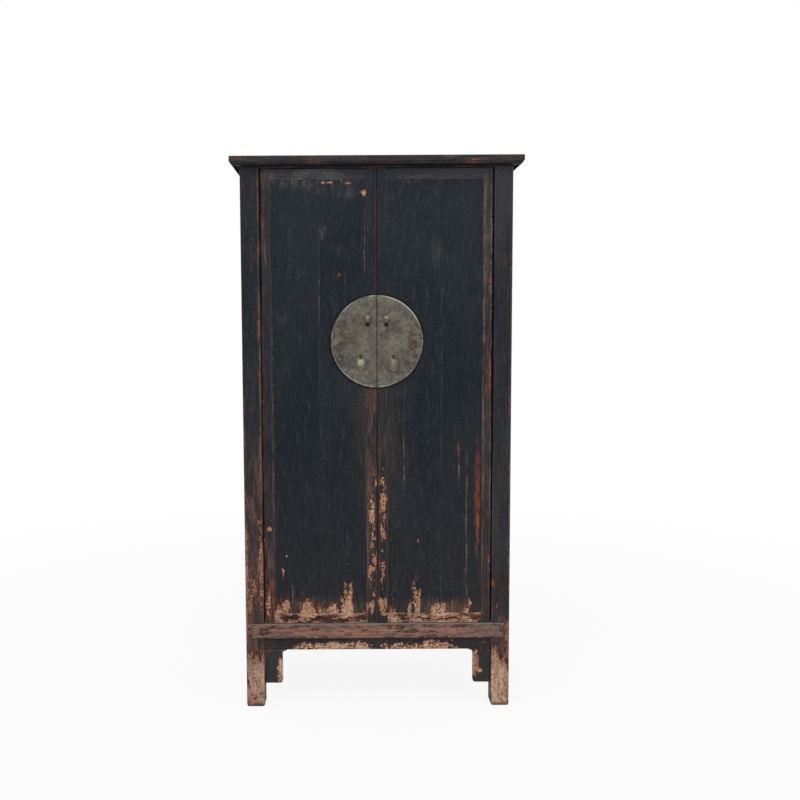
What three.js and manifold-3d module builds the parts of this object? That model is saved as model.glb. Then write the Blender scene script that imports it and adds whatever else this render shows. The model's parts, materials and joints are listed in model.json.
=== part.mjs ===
// A tall two-door armoire in lacquered softwood, in millimetres, +Z up.
// The origin is on the floor, under the middle of the piece, and the doors face -Y.
//
// A frame-and-panel carcass stands on four posts. A moulded, mitred cap frame sits on the
// post tenons. Each door turns on wooden pins that are worked in one with its hinge stile:
// the upper pin turns in the cap, the lower one in a socket of the front bottom rail.

import * as THREE from 'three';
import { mergeVertices } from 'three/addons/utils/BufferGeometryUtils.js';
import Module from 'manifold-3d';

const wasm = await Module();
wasm.setup();

// ---------------------------------------------------------------- driving dimensions

const HEIGHT = 1900;
const BODY_WIDTH = 922;
const BODY_DEPTH = 484;
const POST = 64;

const CAP_OVERHANG = 31;
const CAP_THICK = 31;
const CAP_FASCIA = 19;
const CAP_INSET = 50;

const RAIL_TOP = 298;
const RAIL_HEIGHT = 52;
const RAIL_PROUD = 4;
const RAIL_LAP = 45;
const APRON_BOTTOM = 202;
const APRON_SETBACK = 9;
const SPANDREL_BOTTOM = 83;
const SPANDREL_WIDTH = 63;

const DOOR_THICK = 26;
const DOOR_SETBACK = 2;
const DOOR_GAP = 2;
const HINGE_STILE = 35;
const MEETING_STILE = 34;
const DOOR_TOP_RAIL = 38;
const DOOR_BOTTOM_RAIL = 34;
const HEAD_REVEAL = 6;

const PLATE_RADIUS = 157;
const PLATE_CENTRE = 1281;
const PLATE_THICK = 2.2;

const CLEAR = 0.3;
const TONGUE = 7;
const TENON = 16;
const SMALL_ARRIS = 1.5;
const FRAME_SETBACK = 2;

// ---------------------------------------------------------------- derived levels

const HALF_WIDTH = BODY_WIDTH / 2;
const HALF_DEPTH = BODY_DEPTH / 2;
const INNER_X = HALF_WIDTH - POST;
const INNER_Y = HALF_DEPTH - POST;
const CAP_BOTTOM = HEIGHT - CAP_THICK;
const POST_TOP = CAP_BOTTOM - CLEAR;
const RAIL_BOTTOM = RAIL_TOP - RAIL_HEIGHT;
const DOOR_BOTTOM = RAIL_TOP + DOOR_GAP;
const DOOR_TOP = CAP_BOTTOM - HEAD_REVEAL - DOOR_GAP;
const DOOR_FRONT = -HALF_DEPTH + DOOR_SETBACK;
const DOOR_BACK = DOOR_FRONT + DOOR_THICK;
const DOOR_EDGE = INNER_X - DOOR_GAP;
const PIVOT_X = DOOR_EDGE - DOOR_THICK / 2;
const PIVOT_Y = DOOR_FRONT + DOOR_THICK / 2;

// ---------------------------------------------------------------- finishes

function finish(color, roughness, metalness = 0) {
  return new THREE.MeshStandardMaterial({ color, roughness, metalness });
}

const BLACK_LACQUER = finish(0x1f2328, 0.5);
const WORN_LACQUER = finish(0x4a3a30, 0.6);
const BARE_WOOD = finish(0x8a6a4a, 0.8);
const WHITE_BRASS = finish(0x7d776b, 0.5, 0.8);

// ---------------------------------------------------------------- solids

function solid(geometry) {
  geometry.deleteAttribute('normal');
  geometry.deleteAttribute('uv');
  const merged = mergeVertices(geometry, 1e-4);
  const vertProperties = new Float32Array(merged.attributes.position.array);
  const triVerts = new Uint32Array(merged.index.array);
  return new wasm.Manifold(new wasm.Mesh({ numProp: 3, vertProperties, triVerts }));
}

function block(x, y, z) {
  const box = new THREE.BoxGeometry(x[1] - x[0], y[1] - y[0], z[1] - z[0]);
  box.translate((x[0] + x[1]) / 2, (y[0] + y[1]) / 2, (z[0] + z[1]) / 2);
  return solid(box);
}

function grown(range, by) {
  return [range[0] - by, range[1] + by];
}

// The same distances from the middle, on the left (side -1) or the right (side 1).
function mirrored(side, near, far) {
  return side > 0 ? [near, far] : [-far, -near];
}

// Sections lie in (y, z) for a sweep along x, in (x, z) along y and in (x, y) along z.
const SECTION_PLANE = {
  x: new THREE.Matrix4().set(0, 0, 1, 0, 1, 0, 0, 0, 0, 1, 0, 0, 0, 0, 0, 1),
  y: new THREE.Matrix4().set(1, 0, 0, 0, 0, 0, -1, 0, 0, 1, 0, 0, 0, 0, 0, 1),
  z: new THREE.Matrix4(),
};

function sweep(shape, axis, range, settings = {}) {
  const depth = range[1] - range[0];
  const geometry = new THREE.ExtrudeGeometry(shape, {
    depth, bevelEnabled: false, curveSegments: 1, ...settings,
  });
  geometry.applyMatrix4(SECTION_PLANE[axis]);
  const start = axis === 'y' ? range[1] : range[0];
  geometry.translate(axis === 'x' ? start : 0, axis === 'y' ? start : 0, axis === 'z' ? start : 0);
  return solid(geometry);
}

// A planed section with rounded arrises, its corners counted anticlockwise from the lowest.
function planed(u, v, radii = Array(4).fill(SMALL_ARRIS)) {
  const [a, b, c, d] = radii;
  const shape = new THREE.Shape();
  shape.absarc(u[0] + a, v[0] + a, a, Math.PI, 1.5 * Math.PI);
  shape.absarc(u[1] - b, v[0] + b, b, 1.5 * Math.PI, 2 * Math.PI);
  shape.absarc(u[1] - c, v[1] - c, c, 0, 0.5 * Math.PI);
  shape.absarc(u[0] + d, v[1] - d, d, 0.5 * Math.PI, Math.PI);
  return shape;
}

function polygon(points) {
  return new THREE.Shape(points.map(([u, v]) => new THREE.Vector2(u, v)));
}

function rod(axis, radius, centre, range, sides = 20) {
  const circle = new THREE.Shape();
  circle.absarc(centre[0], centre[1], radius, 0, 2 * Math.PI);
  return sweep(circle, axis, range, { curveSegments: sides / 2 });
}

// ---------------------------------------------------------------- the assembly

const pieces = new Map();

function add(name, group, material, body) {
  pieces.set(name, { group, material, body });
}

function join(name, extra) {
  const piece = pieces.get(name);
  piece.body = piece.body.add(extra);
}

function cut(names, tool) {
  for (const name of names) {
    const piece = pieces.get(name);
    piece.body = piece.body.subtract(tool);
  }
}

// A tenon or tongue on one piece, and the mortise or groove that it fills in the others.
function seat(name, into, x, y, z) {
  join(name, block(x, y, z));
  cut(into, block(grown(x, CLEAR), grown(y, CLEAR), grown(z, CLEAR)));
}

const HANDS = [['left', -1], ['right', 1]];
const ENDS = [['front', -1], ['back', 1]];

// ---------------------------------------------------------------- cap frame

const CAP_BOARD_TOP = HEIGHT - 2;
const CAP_BOARD_THICK = 14;
const CAP_BOARD_GAP = 0.8;
const CAP_QUIRK = 3;
const CAP_OVOLO = 12;
const CAP_ROUND = 5;
const CAP_BATTEN_WIDTH = 40;
const MITRE_GAP = 0.22;

// Worn top arris, plain fascia, a small quirk, then an ovolo that runs back under the edge.
function capProfile(half, side) {
  const top = HEIGHT;
  const lip = top - CAP_FASCIA;
  const at = (out, z) => [side * (half + out), z];
  const outline = new THREE.Shape();
  outline.moveTo(...at(-CAP_INSET, CAP_BOTTOM));
  const ovolo = CAP_OVERHANG - CAP_QUIRK;
  outline.lineTo(...at(ovolo - CAP_OVOLO, CAP_BOTTOM));
  outline.quadraticCurveTo(...at(ovolo - 1, CAP_BOTTOM + 1), ...at(ovolo, lip));
  outline.lineTo(...at(CAP_OVERHANG, lip));
  outline.lineTo(...at(CAP_OVERHANG, top - CAP_ROUND));
  outline.quadraticCurveTo(...at(CAP_OVERHANG, top), ...at(CAP_OVERHANG - CAP_ROUND, top));
  outline.lineTo(...at(-CAP_INSET, top));
  outline.closePath();
  return outline;
}

// The plan of one rail between its two mitres: length along u, out from the middle along v.
function mitrePlan(halfLength, half, side, swap) {
  const reach = 60;
  const point = (along, out) => {
    const u = along * (halfLength + out - MITRE_GAP);
    const v = side * (half + out);
    return swap ? [v, u] : [u, v];
  };
  return polygon([point(-1, reach), point(1, reach), point(1, -reach), point(-1, -reach)]);
}

function capRail(halfLength, half, side, axis) {
  const reach = halfLength + CAP_OVERHANG;
  const rail = sweep(capProfile(half, side), axis, [-reach, reach], { curveSegments: 6 });
  const plan = mitrePlan(halfLength, half, side, axis === 'y');
  return rail.intersect(sweep(plan, 'z', [CAP_BOTTOM - 5, HEIGHT + 5]));
}

function buildCap() {
  for (const [end, side] of ENDS) {
    add(`cap_rail_${end}`, 'carcass', BLACK_LACQUER, capRail(HALF_WIDTH, HALF_DEPTH, side, 'x'));
  }
  for (const [hand, side] of HANDS) {
    add(`cap_rail_${hand}`, 'carcass', BLACK_LACQUER, capRail(HALF_DEPTH, HALF_WIDTH, side, 'y'));
  }
  const openX = HALF_WIDTH - CAP_INSET;
  const openY = HALF_DEPTH - CAP_INSET;
  const bottom = CAP_BOARD_TOP - CAP_BOARD_THICK;
  const tongue = [bottom + 4, bottom + 11];
  for (const [end, side] of ENDS) {
    const name = `cap_board_${end}`;
    const x = [-openX + CLEAR, openX - CLEAR];
    const y = mirrored(side, CAP_BOARD_GAP / 2, openY - CLEAR);
    const board = block(x, y, [bottom, CAP_BOARD_TOP]);
    add(name, 'carcass', BLACK_LACQUER, board);
    const frame = [`cap_rail_${end}`, 'cap_rail_left', 'cap_rail_right'];
    const tongueY = mirrored(side, CAP_BOARD_GAP / 2, openY + TONGUE);
    seat(name, frame, grown(x, TONGUE), tongueY, tongue);
  }
  const battenTop = bottom - CLEAR;
  const battenX = [-CAP_BATTEN_WIDTH / 2, CAP_BATTEN_WIDTH / 2];
  const batten = planed(battenX, [CAP_BOTTOM, battenTop]);
  add('cap_batten', 'carcass', BARE_WOOD, sweep(batten, 'y', [-openY + CLEAR, openY - CLEAR]));
  for (const [end, side] of ENDS) {
    const y = mirrored(side, openY - 2, openY + 8);
    const tenonZ = [CAP_BOTTOM + 3, battenTop - 2];
    seat('cap_batten', [`cap_rail_${end}`], grown(battenX, -6), y, tenonZ);
  }
}

// ---------------------------------------------------------------- posts

const POST_ARRIS = 12;
const POST_SMALL_ARRIS = 2;
const STUB = { near: [13, 27], far: [42, 56], height: 12 };
const FOOT_EASE = { in: 5, up: 7 };

// The feet are eased all round, as they wear when the piece is dragged.
function easeFoot(name, x, y) {
  for (const [axis, along, across] of [['x', x, y], ['y', y, x]]) {
    for (const [end, inward] of [[across[0], 1], [across[1], -1]]) {
      const at = (share) => [end + inward * FOOT_EASE.in * (1 - share), FOOT_EASE.up * share];
      const slope = polygon([at(-0.2), at(1.2), [at(1.2)[0], at(-0.2)[1]]]);
      cut([name], sweep(slope, axis, grown(along, 2)));
    }
  }
}

// Two stub tenons, one for each cap rail, stand on either side of the mitre.
function stubTenons(name, end, endSide, hand, side) {
  const z = [POST_TOP - 1, POST_TOP + STUB.height];
  const from = (base, sign, [low, high]) => mirrored(sign, base + low, base + high);
  seat(name, [`cap_rail_${end}`], from(INNER_X, side, STUB.near), from(INNER_Y, endSide, STUB.far), z);
  seat(name, [`cap_rail_${hand}`], from(INNER_X, side, STUB.far), from(INNER_Y, endSide, STUB.near), z);
}

function buildPosts() {
  const corners = { 'left,front': 0, 'right,front': 1, 'right,back': 2, 'left,back': 3 };
  for (const [end, endSide] of ENDS) {
    for (const [hand, side] of HANDS) {
      const name = `post_${end}_${hand}`;
      const radii = Array(4).fill(POST_SMALL_ARRIS);
      radii[corners[`${hand},${end}`]] = POST_ARRIS;
      const x = mirrored(side, INNER_X, HALF_WIDTH);
      const y = mirrored(endSide, INNER_Y, HALF_DEPTH);
      const post = sweep(planed(x, y, radii), 'z', [0, POST_TOP], { curveSegments: 3 });
      add(name, 'carcass', WORN_LACQUER, post);
      easeFoot(name, x, y);
      stubTenons(name, end, endSide, hand, side);
    }
  }
}

// ---------------------------------------------------------------- rails between the posts

const HEAD_BOTTOM = 1818;
const HEAD_THICK = 28;
const BOTTOM_THICK = 44;
const STOP_FRONT = DOOR_BACK + DOOR_GAP;
const STOP_BACK = STOP_FRONT + 26;
const STOP_BOTTOM = HEAD_BOTTOM + 8;
const RAIL_DEPTH = 56;
const RAIL_LAP_THICK = 8;
const RAIL_ARRISES = [3, 2, 2, 9];

// The front head rail is rebated: a thin lip over the doors, and a stop behind them.
function headRailFront() {
  const lip = CAP_BOTTOM - HEAD_REVEAL;
  const profile = polygon([
    [DOOR_FRONT, lip], [STOP_FRONT, lip], [STOP_FRONT, STOP_BOTTOM],
    [STOP_BACK, STOP_BOTTOM], [STOP_BACK, POST_TOP], [DOOR_FRONT, POST_TOP],
  ]);
  return sweep(profile, 'x', [-INNER_X + CLEAR, INNER_X - CLEAR]);
}

// The front bottom rail stands proud of the posts and laps over their faces.
function bottomRailFront() {
  const face = -HALF_DEPTH - RAIL_PROUD;
  const profile = planed([face, face + RAIL_DEPTH], [RAIL_BOTTOM, RAIL_TOP], RAIL_ARRISES);
  const reach = INNER_X + RAIL_LAP;
  let rail = sweep(profile, 'x', [-reach, reach], { curveSegments: 3 });
  for (const side of [-1, 1]) {
    const x = mirrored(side, INNER_X - CLEAR, reach + 1);
    const behind = [face + RAIL_LAP_THICK, face + RAIL_DEPTH + 1];
    rail = rail.subtract(block(x, behind, grown([RAIL_BOTTOM, RAIL_TOP], 1)));
  }
  return rail;
}

function buildRails() {
  add('head_rail_front', 'carcass', WORN_LACQUER, headRailFront());
  add('bottom_rail_front', 'carcass', WORN_LACQUER, bottomRailFront());
  const alongX = [-INNER_X + CLEAR, INNER_X - CLEAR];
  const alongY = [-INNER_Y + CLEAR, INNER_Y - CLEAR];
  const headZ = [HEAD_BOTTOM, POST_TOP];
  const bottomZ = [RAIL_BOTTOM, RAIL_TOP];
  const backOut = HALF_DEPTH - FRAME_SETBACK;
  add('head_rail_back', 'carcass', BLACK_LACQUER,
    sweep(planed([backOut - HEAD_THICK, backOut], headZ), 'x', alongX));
  add('bottom_rail_back', 'carcass', BLACK_LACQUER,
    sweep(planed([backOut - BOTTOM_THICK, backOut], bottomZ), 'x', alongX));
  for (const [hand, side] of HANDS) {
    const out = HALF_WIDTH - FRAME_SETBACK;
    const headX = mirrored(side, out - HEAD_THICK, out);
    const bottomX = mirrored(side, out - BOTTOM_THICK, out);
    add(`head_rail_${hand}`, 'carcass', BLACK_LACQUER, sweep(planed(headX, headZ), 'y', alongY));
    add(`bottom_rail_${hand}`, 'carcass', BLACK_LACQUER, sweep(planed(bottomX, bottomZ), 'y', alongY));
  }
  tenonRails();
}

function tenonRails() {
  const headZ = [HEAD_BOTTOM + 14, POST_TOP - 10];
  const bottomZ = [RAIL_BOTTOM + 12, RAIL_TOP - 14];
  for (const [hand, side] of HANDS) {
    const front = [`post_front_${hand}`];
    const back = [`post_back_${hand}`];
    const x = mirrored(side, INNER_X - 2, INNER_X + TENON);
    seat('head_rail_front', front, x, [STOP_FRONT + 7, STOP_BACK - 7], headZ);
    seat('bottom_rail_front', front, x, [-HALF_DEPTH + 24, -HALF_DEPTH + 38], bottomZ);
    seat('head_rail_back', back, x, [HALF_DEPTH - 22, HALF_DEPTH - 10], headZ);
    seat('bottom_rail_back', back, x, [HALF_DEPTH - 38, HALF_DEPTH - 24], bottomZ);
    const lap = mirrored(side, INNER_X - 1, INNER_X + RAIL_LAP);
    const housing = [-HALF_DEPTH - 10, -HALF_DEPTH + RAIL_LAP_THICK - RAIL_PROUD];
    const height = grown([RAIL_BOTTOM, RAIL_TOP], CLEAR);
    cut(front, block(grown(lap, CLEAR), grown(housing, CLEAR), height));
    for (const [end, endSide] of ENDS) {
      const y = mirrored(endSide, INNER_Y - 2, INNER_Y + TENON);
      const post = [`post_${end}_${hand}`];
      seat(`head_rail_${hand}`, post, mirrored(side, HALF_WIDTH - 22, HALF_WIDTH - 10), y, headZ);
      seat(`bottom_rail_${hand}`, post, mirrored(side, HALF_WIDTH - 24, HALF_WIDTH - 10), y, bottomZ);
    }
  }
}

// ---------------------------------------------------------------- aprons and spandrels

const APRON_THICK = 16;
const CORNER_SWEEP = 17;
const CORNER_LIP = 2;
const SPANDREL_TOE = 10;

function spandrelOutline(side) {
  const outer = INNER_X - CLEAR;
  const inner = INNER_X - SPANDREL_WIDTH;
  const top = APRON_BOTTOM - CLEAR;
  const point = side * (inner - CORNER_SWEEP + CORNER_LIP);
  const toe = SPANDREL_TOE;
  const shape = new THREE.Shape();
  shape.moveTo(side * outer, top);
  shape.lineTo(point, top);
  shape.lineTo(point, top - CORNER_LIP);
  shape.quadraticCurveTo(side * inner, top - CORNER_LIP, side * inner, top - CORNER_SWEEP);
  shape.lineTo(side * inner, SPANDREL_BOTTOM + toe);
  shape.quadraticCurveTo(side * inner, SPANDREL_BOTTOM, side * (inner + toe), SPANDREL_BOTTOM);
  shape.lineTo(side * outer, SPANDREL_BOTTOM);
  shape.closePath();
  return shape;
}

function buildAprons() {
  const z = [APRON_BOTTOM, RAIL_BOTTOM - CLEAR];
  const front = -HALF_DEPTH + APRON_SETBACK;
  const depth = [front, front + APRON_THICK];
  const length = [-INNER_X + CLEAR, INNER_X - CLEAR];
  add('apron_front', 'carcass', BLACK_LACQUER, sweep(planed(depth, z), 'x', length));
  for (const [hand, side] of HANDS) {
    const post = [`post_front_${hand}`];
    const inPost = mirrored(side, INNER_X - 2, INNER_X + TONGUE);
    const tongue = [front + 4, front + APRON_THICK - 4];
    seat('apron_front', post, inPost, tongue, [z[0] + 2, z[1] - 2]);
    const spandrel = `spandrel_${hand}`;
    add(spandrel, 'carcass', BLACK_LACQUER, sweep(spandrelOutline(side), 'y', depth, { curveSegments: 8 }));
    seat(spandrel, post, inPost, tongue, [SPANDREL_BOTTOM + 14, APRON_BOTTOM - 6]);
    const out = HALF_WIDTH - APRON_SETBACK;
    const x = mirrored(side, out - APRON_THICK, out);
    const apron = `apron_${hand}`;
    add(apron, 'carcass', BLACK_LACQUER, sweep(planed(x, z), 'y', [-INNER_Y + CLEAR, INNER_Y - CLEAR]));
    for (const [end, endSide] of ENDS) {
      const y = mirrored(endSide, INNER_Y - 2, INNER_Y + TONGUE);
      seat(apron, [`post_${end}_${hand}`], grown(x, -4), y, [z[0] + 2, z[1] - 2]);
    }
  }
}

// ---------------------------------------------------------------- sides and back

const PANEL_THICK = 12;
const PANEL_SETBACK = 8;
const MUNTIN_WIDTH = 64;

function buildPanels() {
  const field = [RAIL_TOP + CLEAR, HEAD_BOTTOM - CLEAR];
  const tongueZ = grown(field, TONGUE);
  for (const [hand, side] of HANDS) {
    const name = `side_panel_${hand}`;
    const out = HALF_WIDTH - PANEL_SETBACK;
    const x = mirrored(side, out - PANEL_THICK, out);
    const y = [-INNER_Y + CLEAR, INNER_Y - CLEAR];
    add(name, 'carcass', BLACK_LACQUER, block(x, y, field));
    const frame = ['post_front', 'post_back', 'head_rail', 'bottom_rail'].map((part) => `${part}_${hand}`);
    seat(name, frame, grown(x, -3), grown(y, TONGUE), tongueZ);
  }
  const backOut = HALF_DEPTH - FRAME_SETBACK;
  const muntin = MUNTIN_WIDTH / 2;
  const muntinX = [-muntin, muntin];
  const stile = planed(muntinX, [backOut - HEAD_THICK, backOut]);
  add('back_muntin', 'carcass', BLACK_LACQUER, sweep(stile, 'z', field));
  const tenon = [grown(muntinX, -12), [backOut - 9, backOut - 3]];
  seat('back_muntin', ['head_rail_back'], ...tenon, [HEAD_BOTTOM - 2, HEAD_BOTTOM + TENON]);
  seat('back_muntin', ['bottom_rail_back'], ...tenon, [RAIL_TOP - TENON, RAIL_TOP + 2]);
  for (const [hand, side] of HANDS) {
    const name = `back_panel_${hand}`;
    const x = mirrored(side, muntin + CLEAR, INNER_X - CLEAR);
    const y = [HALF_DEPTH - PANEL_SETBACK - PANEL_THICK, HALF_DEPTH - PANEL_SETBACK];
    add(name, 'carcass', BLACK_LACQUER, block(x, y, field));
    const frame = [`post_back_${hand}`, 'back_muntin', 'head_rail_back', 'bottom_rail_back'];
    seat(name, frame, grown(x, TONGUE), grown(y, -3), tongueZ);
  }
}

// ---------------------------------------------------------------- floor and shelves

const FLOOR_THICK = 16;
const SHELF_THICK = 18;
const BEARER = 30;
const BEARER_WIDTH = 24;
const SHELVES = [['lower', 818], ['upper', 1322]];

// A board that lies between the posts, with a notch around each of them.
function notchedBoard(front, z) {
  const x = HALF_WIDTH - PANEL_SETBACK - PANEL_THICK - CLEAR;
  const back = HALF_DEPTH - FRAME_SETBACK - HEAD_THICK - CLEAR;
  let board = sweep(planed([front, back], z, [2, 1, 1, 2]), 'x', [-x, x]);
  for (const [, side] of HANDS) {
    for (const [, endSide] of ENDS) {
      const notchX = mirrored(side, INNER_X - CLEAR, HALF_WIDTH);
      const notchY = mirrored(endSide, INNER_Y - CLEAR, HALF_DEPTH);
      board = board.subtract(block(notchX, notchY, grown(z, 5)));
    }
  }
  return board;
}

function buildInterior() {
  const floor = [RAIL_TOP + CLEAR, RAIL_TOP + CLEAR + FLOOR_THICK];
  add('bottom_board', 'carcass', BARE_WOOD, notchedBoard(STOP_FRONT, floor));
  for (const [level, top] of SHELVES) {
    const under = top - SHELF_THICK;
    add(`shelf_${level}`, 'carcass', BARE_WOOD, notchedBoard(STOP_FRONT + 8, [under, top]));
    for (const [hand, side] of HANDS) {
      const name = `shelf_bearer_${level}_${hand}`;
      const out = HALF_WIDTH - PANEL_SETBACK - PANEL_THICK - CLEAR;
      const x = mirrored(side, out - BEARER_WIDTH, out);
      const z = [under - CLEAR - BEARER, under - CLEAR];
      const bearer = sweep(planed(x, z), 'y', [-INNER_Y + CLEAR, INNER_Y - CLEAR]);
      add(name, 'carcass', BARE_WOOD, bearer);
      for (const [end, endSide] of ENDS) {
        const y = mirrored(endSide, INNER_Y - 2, INNER_Y + 12);
        seat(name, [`post_${end}_${hand}`], grown(x, -6), y, grown(z, -6));
      }
    }
  }
}

// ---------------------------------------------------------------- doors

const PIN_RADIUS = 7;
const SOCKET_RADIUS = 7.5;
const UPPER_PIN = 16;
const LOWER_PIN = 13.5;
const PANEL_RECESS = 1.5;
const DOOR_PANEL = 11;
const DOOR_TONGUE = [3, 8];
const BOARD_JOINT = { left: 196, right: 221 };
const BOARD_GAP = 0.4;
const BATTENS = [['lower', 680], ['upper', 1500]];
const BATTEN = { half: 15, neck: 9, key: 11, keyDepth: 3.5 };
const DOOR_TENON = [11, 18];

// The outer edge is a half round about the pivot, so the gap to the post never changes.
function hingeStile(side) {
  const inner = DOOR_EDGE - HINGE_STILE;
  const shape = new THREE.Shape();
  shape.moveTo(side * inner, DOOR_FRONT);
  shape.lineTo(side * PIVOT_X, DOOR_FRONT);
  const end = side > 0 ? 0.5 * Math.PI : -1.5 * Math.PI;
  shape.absarc(side * PIVOT_X, PIVOT_Y, DOOR_THICK / 2, -0.5 * Math.PI, end, side < 0);
  shape.lineTo(side * inner, DOOR_BACK);
  shape.closePath();
  const stile = sweep(shape, 'z', [DOOR_BOTTOM, DOOR_TOP], { curveSegments: 7 });
  const centre = [side * PIVOT_X, PIVOT_Y];
  const lower = rod('z', PIN_RADIUS, centre, [DOOR_BOTTOM - LOWER_PIN, DOOR_BOTTOM + 2]);
  const upper = rod('z', PIN_RADIUS, centre, [DOOR_TOP - 2, DOOR_TOP + UPPER_PIN]);
  return stile.add(lower).add(upper);
}

function cutSockets(side) {
  const centre = [side * PIVOT_X, PIVOT_Y];
  const lower = rod('z', SOCKET_RADIUS, centre, [DOOR_BOTTOM - LOWER_PIN - 0.5, RAIL_TOP + 5]);
  const upper = rod('z', SOCKET_RADIUS, centre, [DOOR_TOP - 1, DOOR_TOP + UPPER_PIN + 1]);
  cut(['bottom_rail_front'], lower);
  cut(['head_rail_front', 'cap_rail_front'], upper);
}

// A batten behind the boards: a flat bar with a dovetailed key let into their backs.
function battenSection(z, clearance) {
  const back = DOOR_BACK - 1;
  const face = DOOR_FRONT + PANEL_RECESS + DOOR_PANEL + CLEAR;
  const half = BATTEN.half + clearance;
  const neck = BATTEN.neck + clearance;
  const key = BATTEN.key + clearance;
  const deep = face - BATTEN.keyDepth - clearance;
  return polygon([
    [back, z - half], [back, z + half], [face, z + half], [face, z + neck],
    [deep, z + key], [deep, z - key], [face, z - neck], [face, z - half],
  ]);
}

function buildDoor(hand, side) {
  const group = `door_${hand}`;
  const inner = DOOR_EDGE - HINGE_STILE;
  const meeting = DOOR_GAP / 2 + MEETING_STILE;
  const names = {
    hinge: `hinge_stile_${hand}`, meeting: `meeting_stile_${hand}`,
    top: `door_top_rail_${hand}`, bottom: `door_bottom_rail_${hand}`,
  };
  add(names.hinge, group, WORN_LACQUER, hingeStile(side));
  const leaf = [DOOR_FRONT, DOOR_BACK];
  const meetingX = mirrored(side, DOOR_GAP / 2, meeting);
  add(names.meeting, group, BLACK_LACQUER, sweep(planed(meetingX, leaf), 'z', [DOOR_BOTTOM, DOOR_TOP]));
  const between = mirrored(side, meeting + CLEAR, inner - CLEAR);
  const topZ = [DOOR_TOP - DOOR_TOP_RAIL, DOOR_TOP];
  const bottomZ = [DOOR_BOTTOM, DOOR_BOTTOM + DOOR_BOTTOM_RAIL];
  add(names.top, group, BLACK_LACQUER, sweep(planed(leaf, topZ), 'x', between));
  add(names.bottom, group, WORN_LACQUER, sweep(planed(leaf, bottomZ), 'x', between));
  const tenonY = DOOR_TENON.map((depth) => DOOR_FRONT + depth);
  for (const [name, z] of [[names.top, topZ], [names.bottom, bottomZ]]) {
    seat(name, [names.hinge], mirrored(side, inner - 2, inner + TENON), tenonY, grown(z, -9));
    seat(name, [names.meeting], mirrored(side, meeting - TENON, meeting + 2), tenonY, grown(z, -9));
  }
  buildDoorBoards(hand, side, names);
  buildDoorBattens(hand, side, names);
  cutSockets(side);
}

function buildDoorBoards(hand, side, names) {
  const group = `door_${hand}`;
  const inner = DOOR_EDGE - HINGE_STILE;
  const meeting = DOOR_GAP / 2 + MEETING_STILE;
  const joint = BOARD_JOINT[hand] + BOARD_GAP / 2;
  const jointIn = BOARD_JOINT[hand] - BOARD_GAP / 2;
  const z = [DOOR_BOTTOM + DOOR_BOTTOM_RAIL + CLEAR, DOOR_TOP - DOOR_TOP_RAIL - CLEAR];
  const face = DOOR_FRONT + PANEL_RECESS;
  const y = [face, face + DOOR_PANEL];
  const tongueY = [face + DOOR_TONGUE[0], face + DOOR_TONGUE[1]];
  const outer = `door_board_outer_${hand}`;
  add(outer, group, BLACK_LACQUER, block(mirrored(side, joint, inner - CLEAR), y, z));
  seat(outer, [names.hinge, names.top, names.bottom],
    mirrored(side, joint, inner + TONGUE), tongueY, grown(z, TONGUE));
  const innerBoard = `door_board_inner_${hand}`;
  add(innerBoard, group, BLACK_LACQUER, block(mirrored(side, meeting + CLEAR, jointIn), y, z));
  seat(innerBoard, [names.meeting, names.top, names.bottom],
    mirrored(side, meeting - TONGUE, jointIn), tongueY, grown(z, TONGUE));
}

function buildDoorBattens(hand, side, names) {
  const inner = DOOR_EDGE - HINGE_STILE;
  const meeting = DOOR_GAP / 2 + MEETING_STILE;
  const x = mirrored(side, meeting + CLEAR, inner - CLEAR);
  for (const [level, z] of BATTENS) {
    const name = `door_batten_${level}_${hand}`;
    add(name, `door_${hand}`, BARE_WOOD, sweep(battenSection(z, 0), 'x', x));
    const housing = sweep(battenSection(z, CLEAR), 'x', grown(x, CLEAR));
    cut([`door_board_inner_${hand}`, `door_board_outer_${hand}`], housing);
    const tenonY = [DOOR_BACK - 9, DOOR_BACK - 3];
    const tenonZ = [z - 10, z + 10];
    seat(name, [names.hinge], mirrored(side, inner - 2, inner + 8), tenonY, tenonZ);
    seat(name, [names.meeting], mirrored(side, meeting - 8, meeting + 2), tenonY, tenonZ);
  }
}

// ---------------------------------------------------------------- metalwork

const PLATE_FRONT = DOOR_FRONT - CLEAR - PLATE_THICK;
const LOOP_X = 32;
const LOOP_Z = PLATE_CENTRE + 72;
const LOOP_RADIUS = 17.5;
const LOOP_STRAP = 6;
const LOOP_WIDTH = 15;
const LOOP_LEG = 2;
const LOOP_CLINCH = 14;
const LOOP_ROUND = 1.8;
const PULL_X = 56;
const PULL_Z = PLATE_CENTRE - 53;
const PULL_Y = PLATE_FRONT - 8;
const PULL_LENGTH = 50;
const PULL_WIDTH = 36;
const PULL_DOME = 2.8;
const EYE_RADIUS = 5.2;
const EYE_HOLE = 2.3;
const EYE_THICK = 4.4;
const PULL_NOTCH = EYE_THICK / 2 + 0.9;
const BAR_RADIUS = 1.6;
const STEM_RADIUS = 2.2;

// One half of the round plate, cut straight along the meeting of the doors.
function facePlate(side) {
  const edge = DOOR_GAP / 2;
  const turn = Math.acos(edge / PLATE_RADIUS);
  const middle = side > 0 ? 0 : Math.PI;
  const bevel = 0.7;
  const half = new THREE.Shape();
  half.absarc(0, PLATE_CENTRE, PLATE_RADIUS, middle - turn, middle + turn);
  half.closePath();
  return sweep(half, 'y', grown([PLATE_FRONT, DOOR_FRONT - CLEAR], -bevel), {
    curveSegments: 30, bevelEnabled: true, bevelThickness: bevel, bevelSize: bevel,
    bevelOffset: -bevel, bevelSegments: 1,
  });
}

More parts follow.
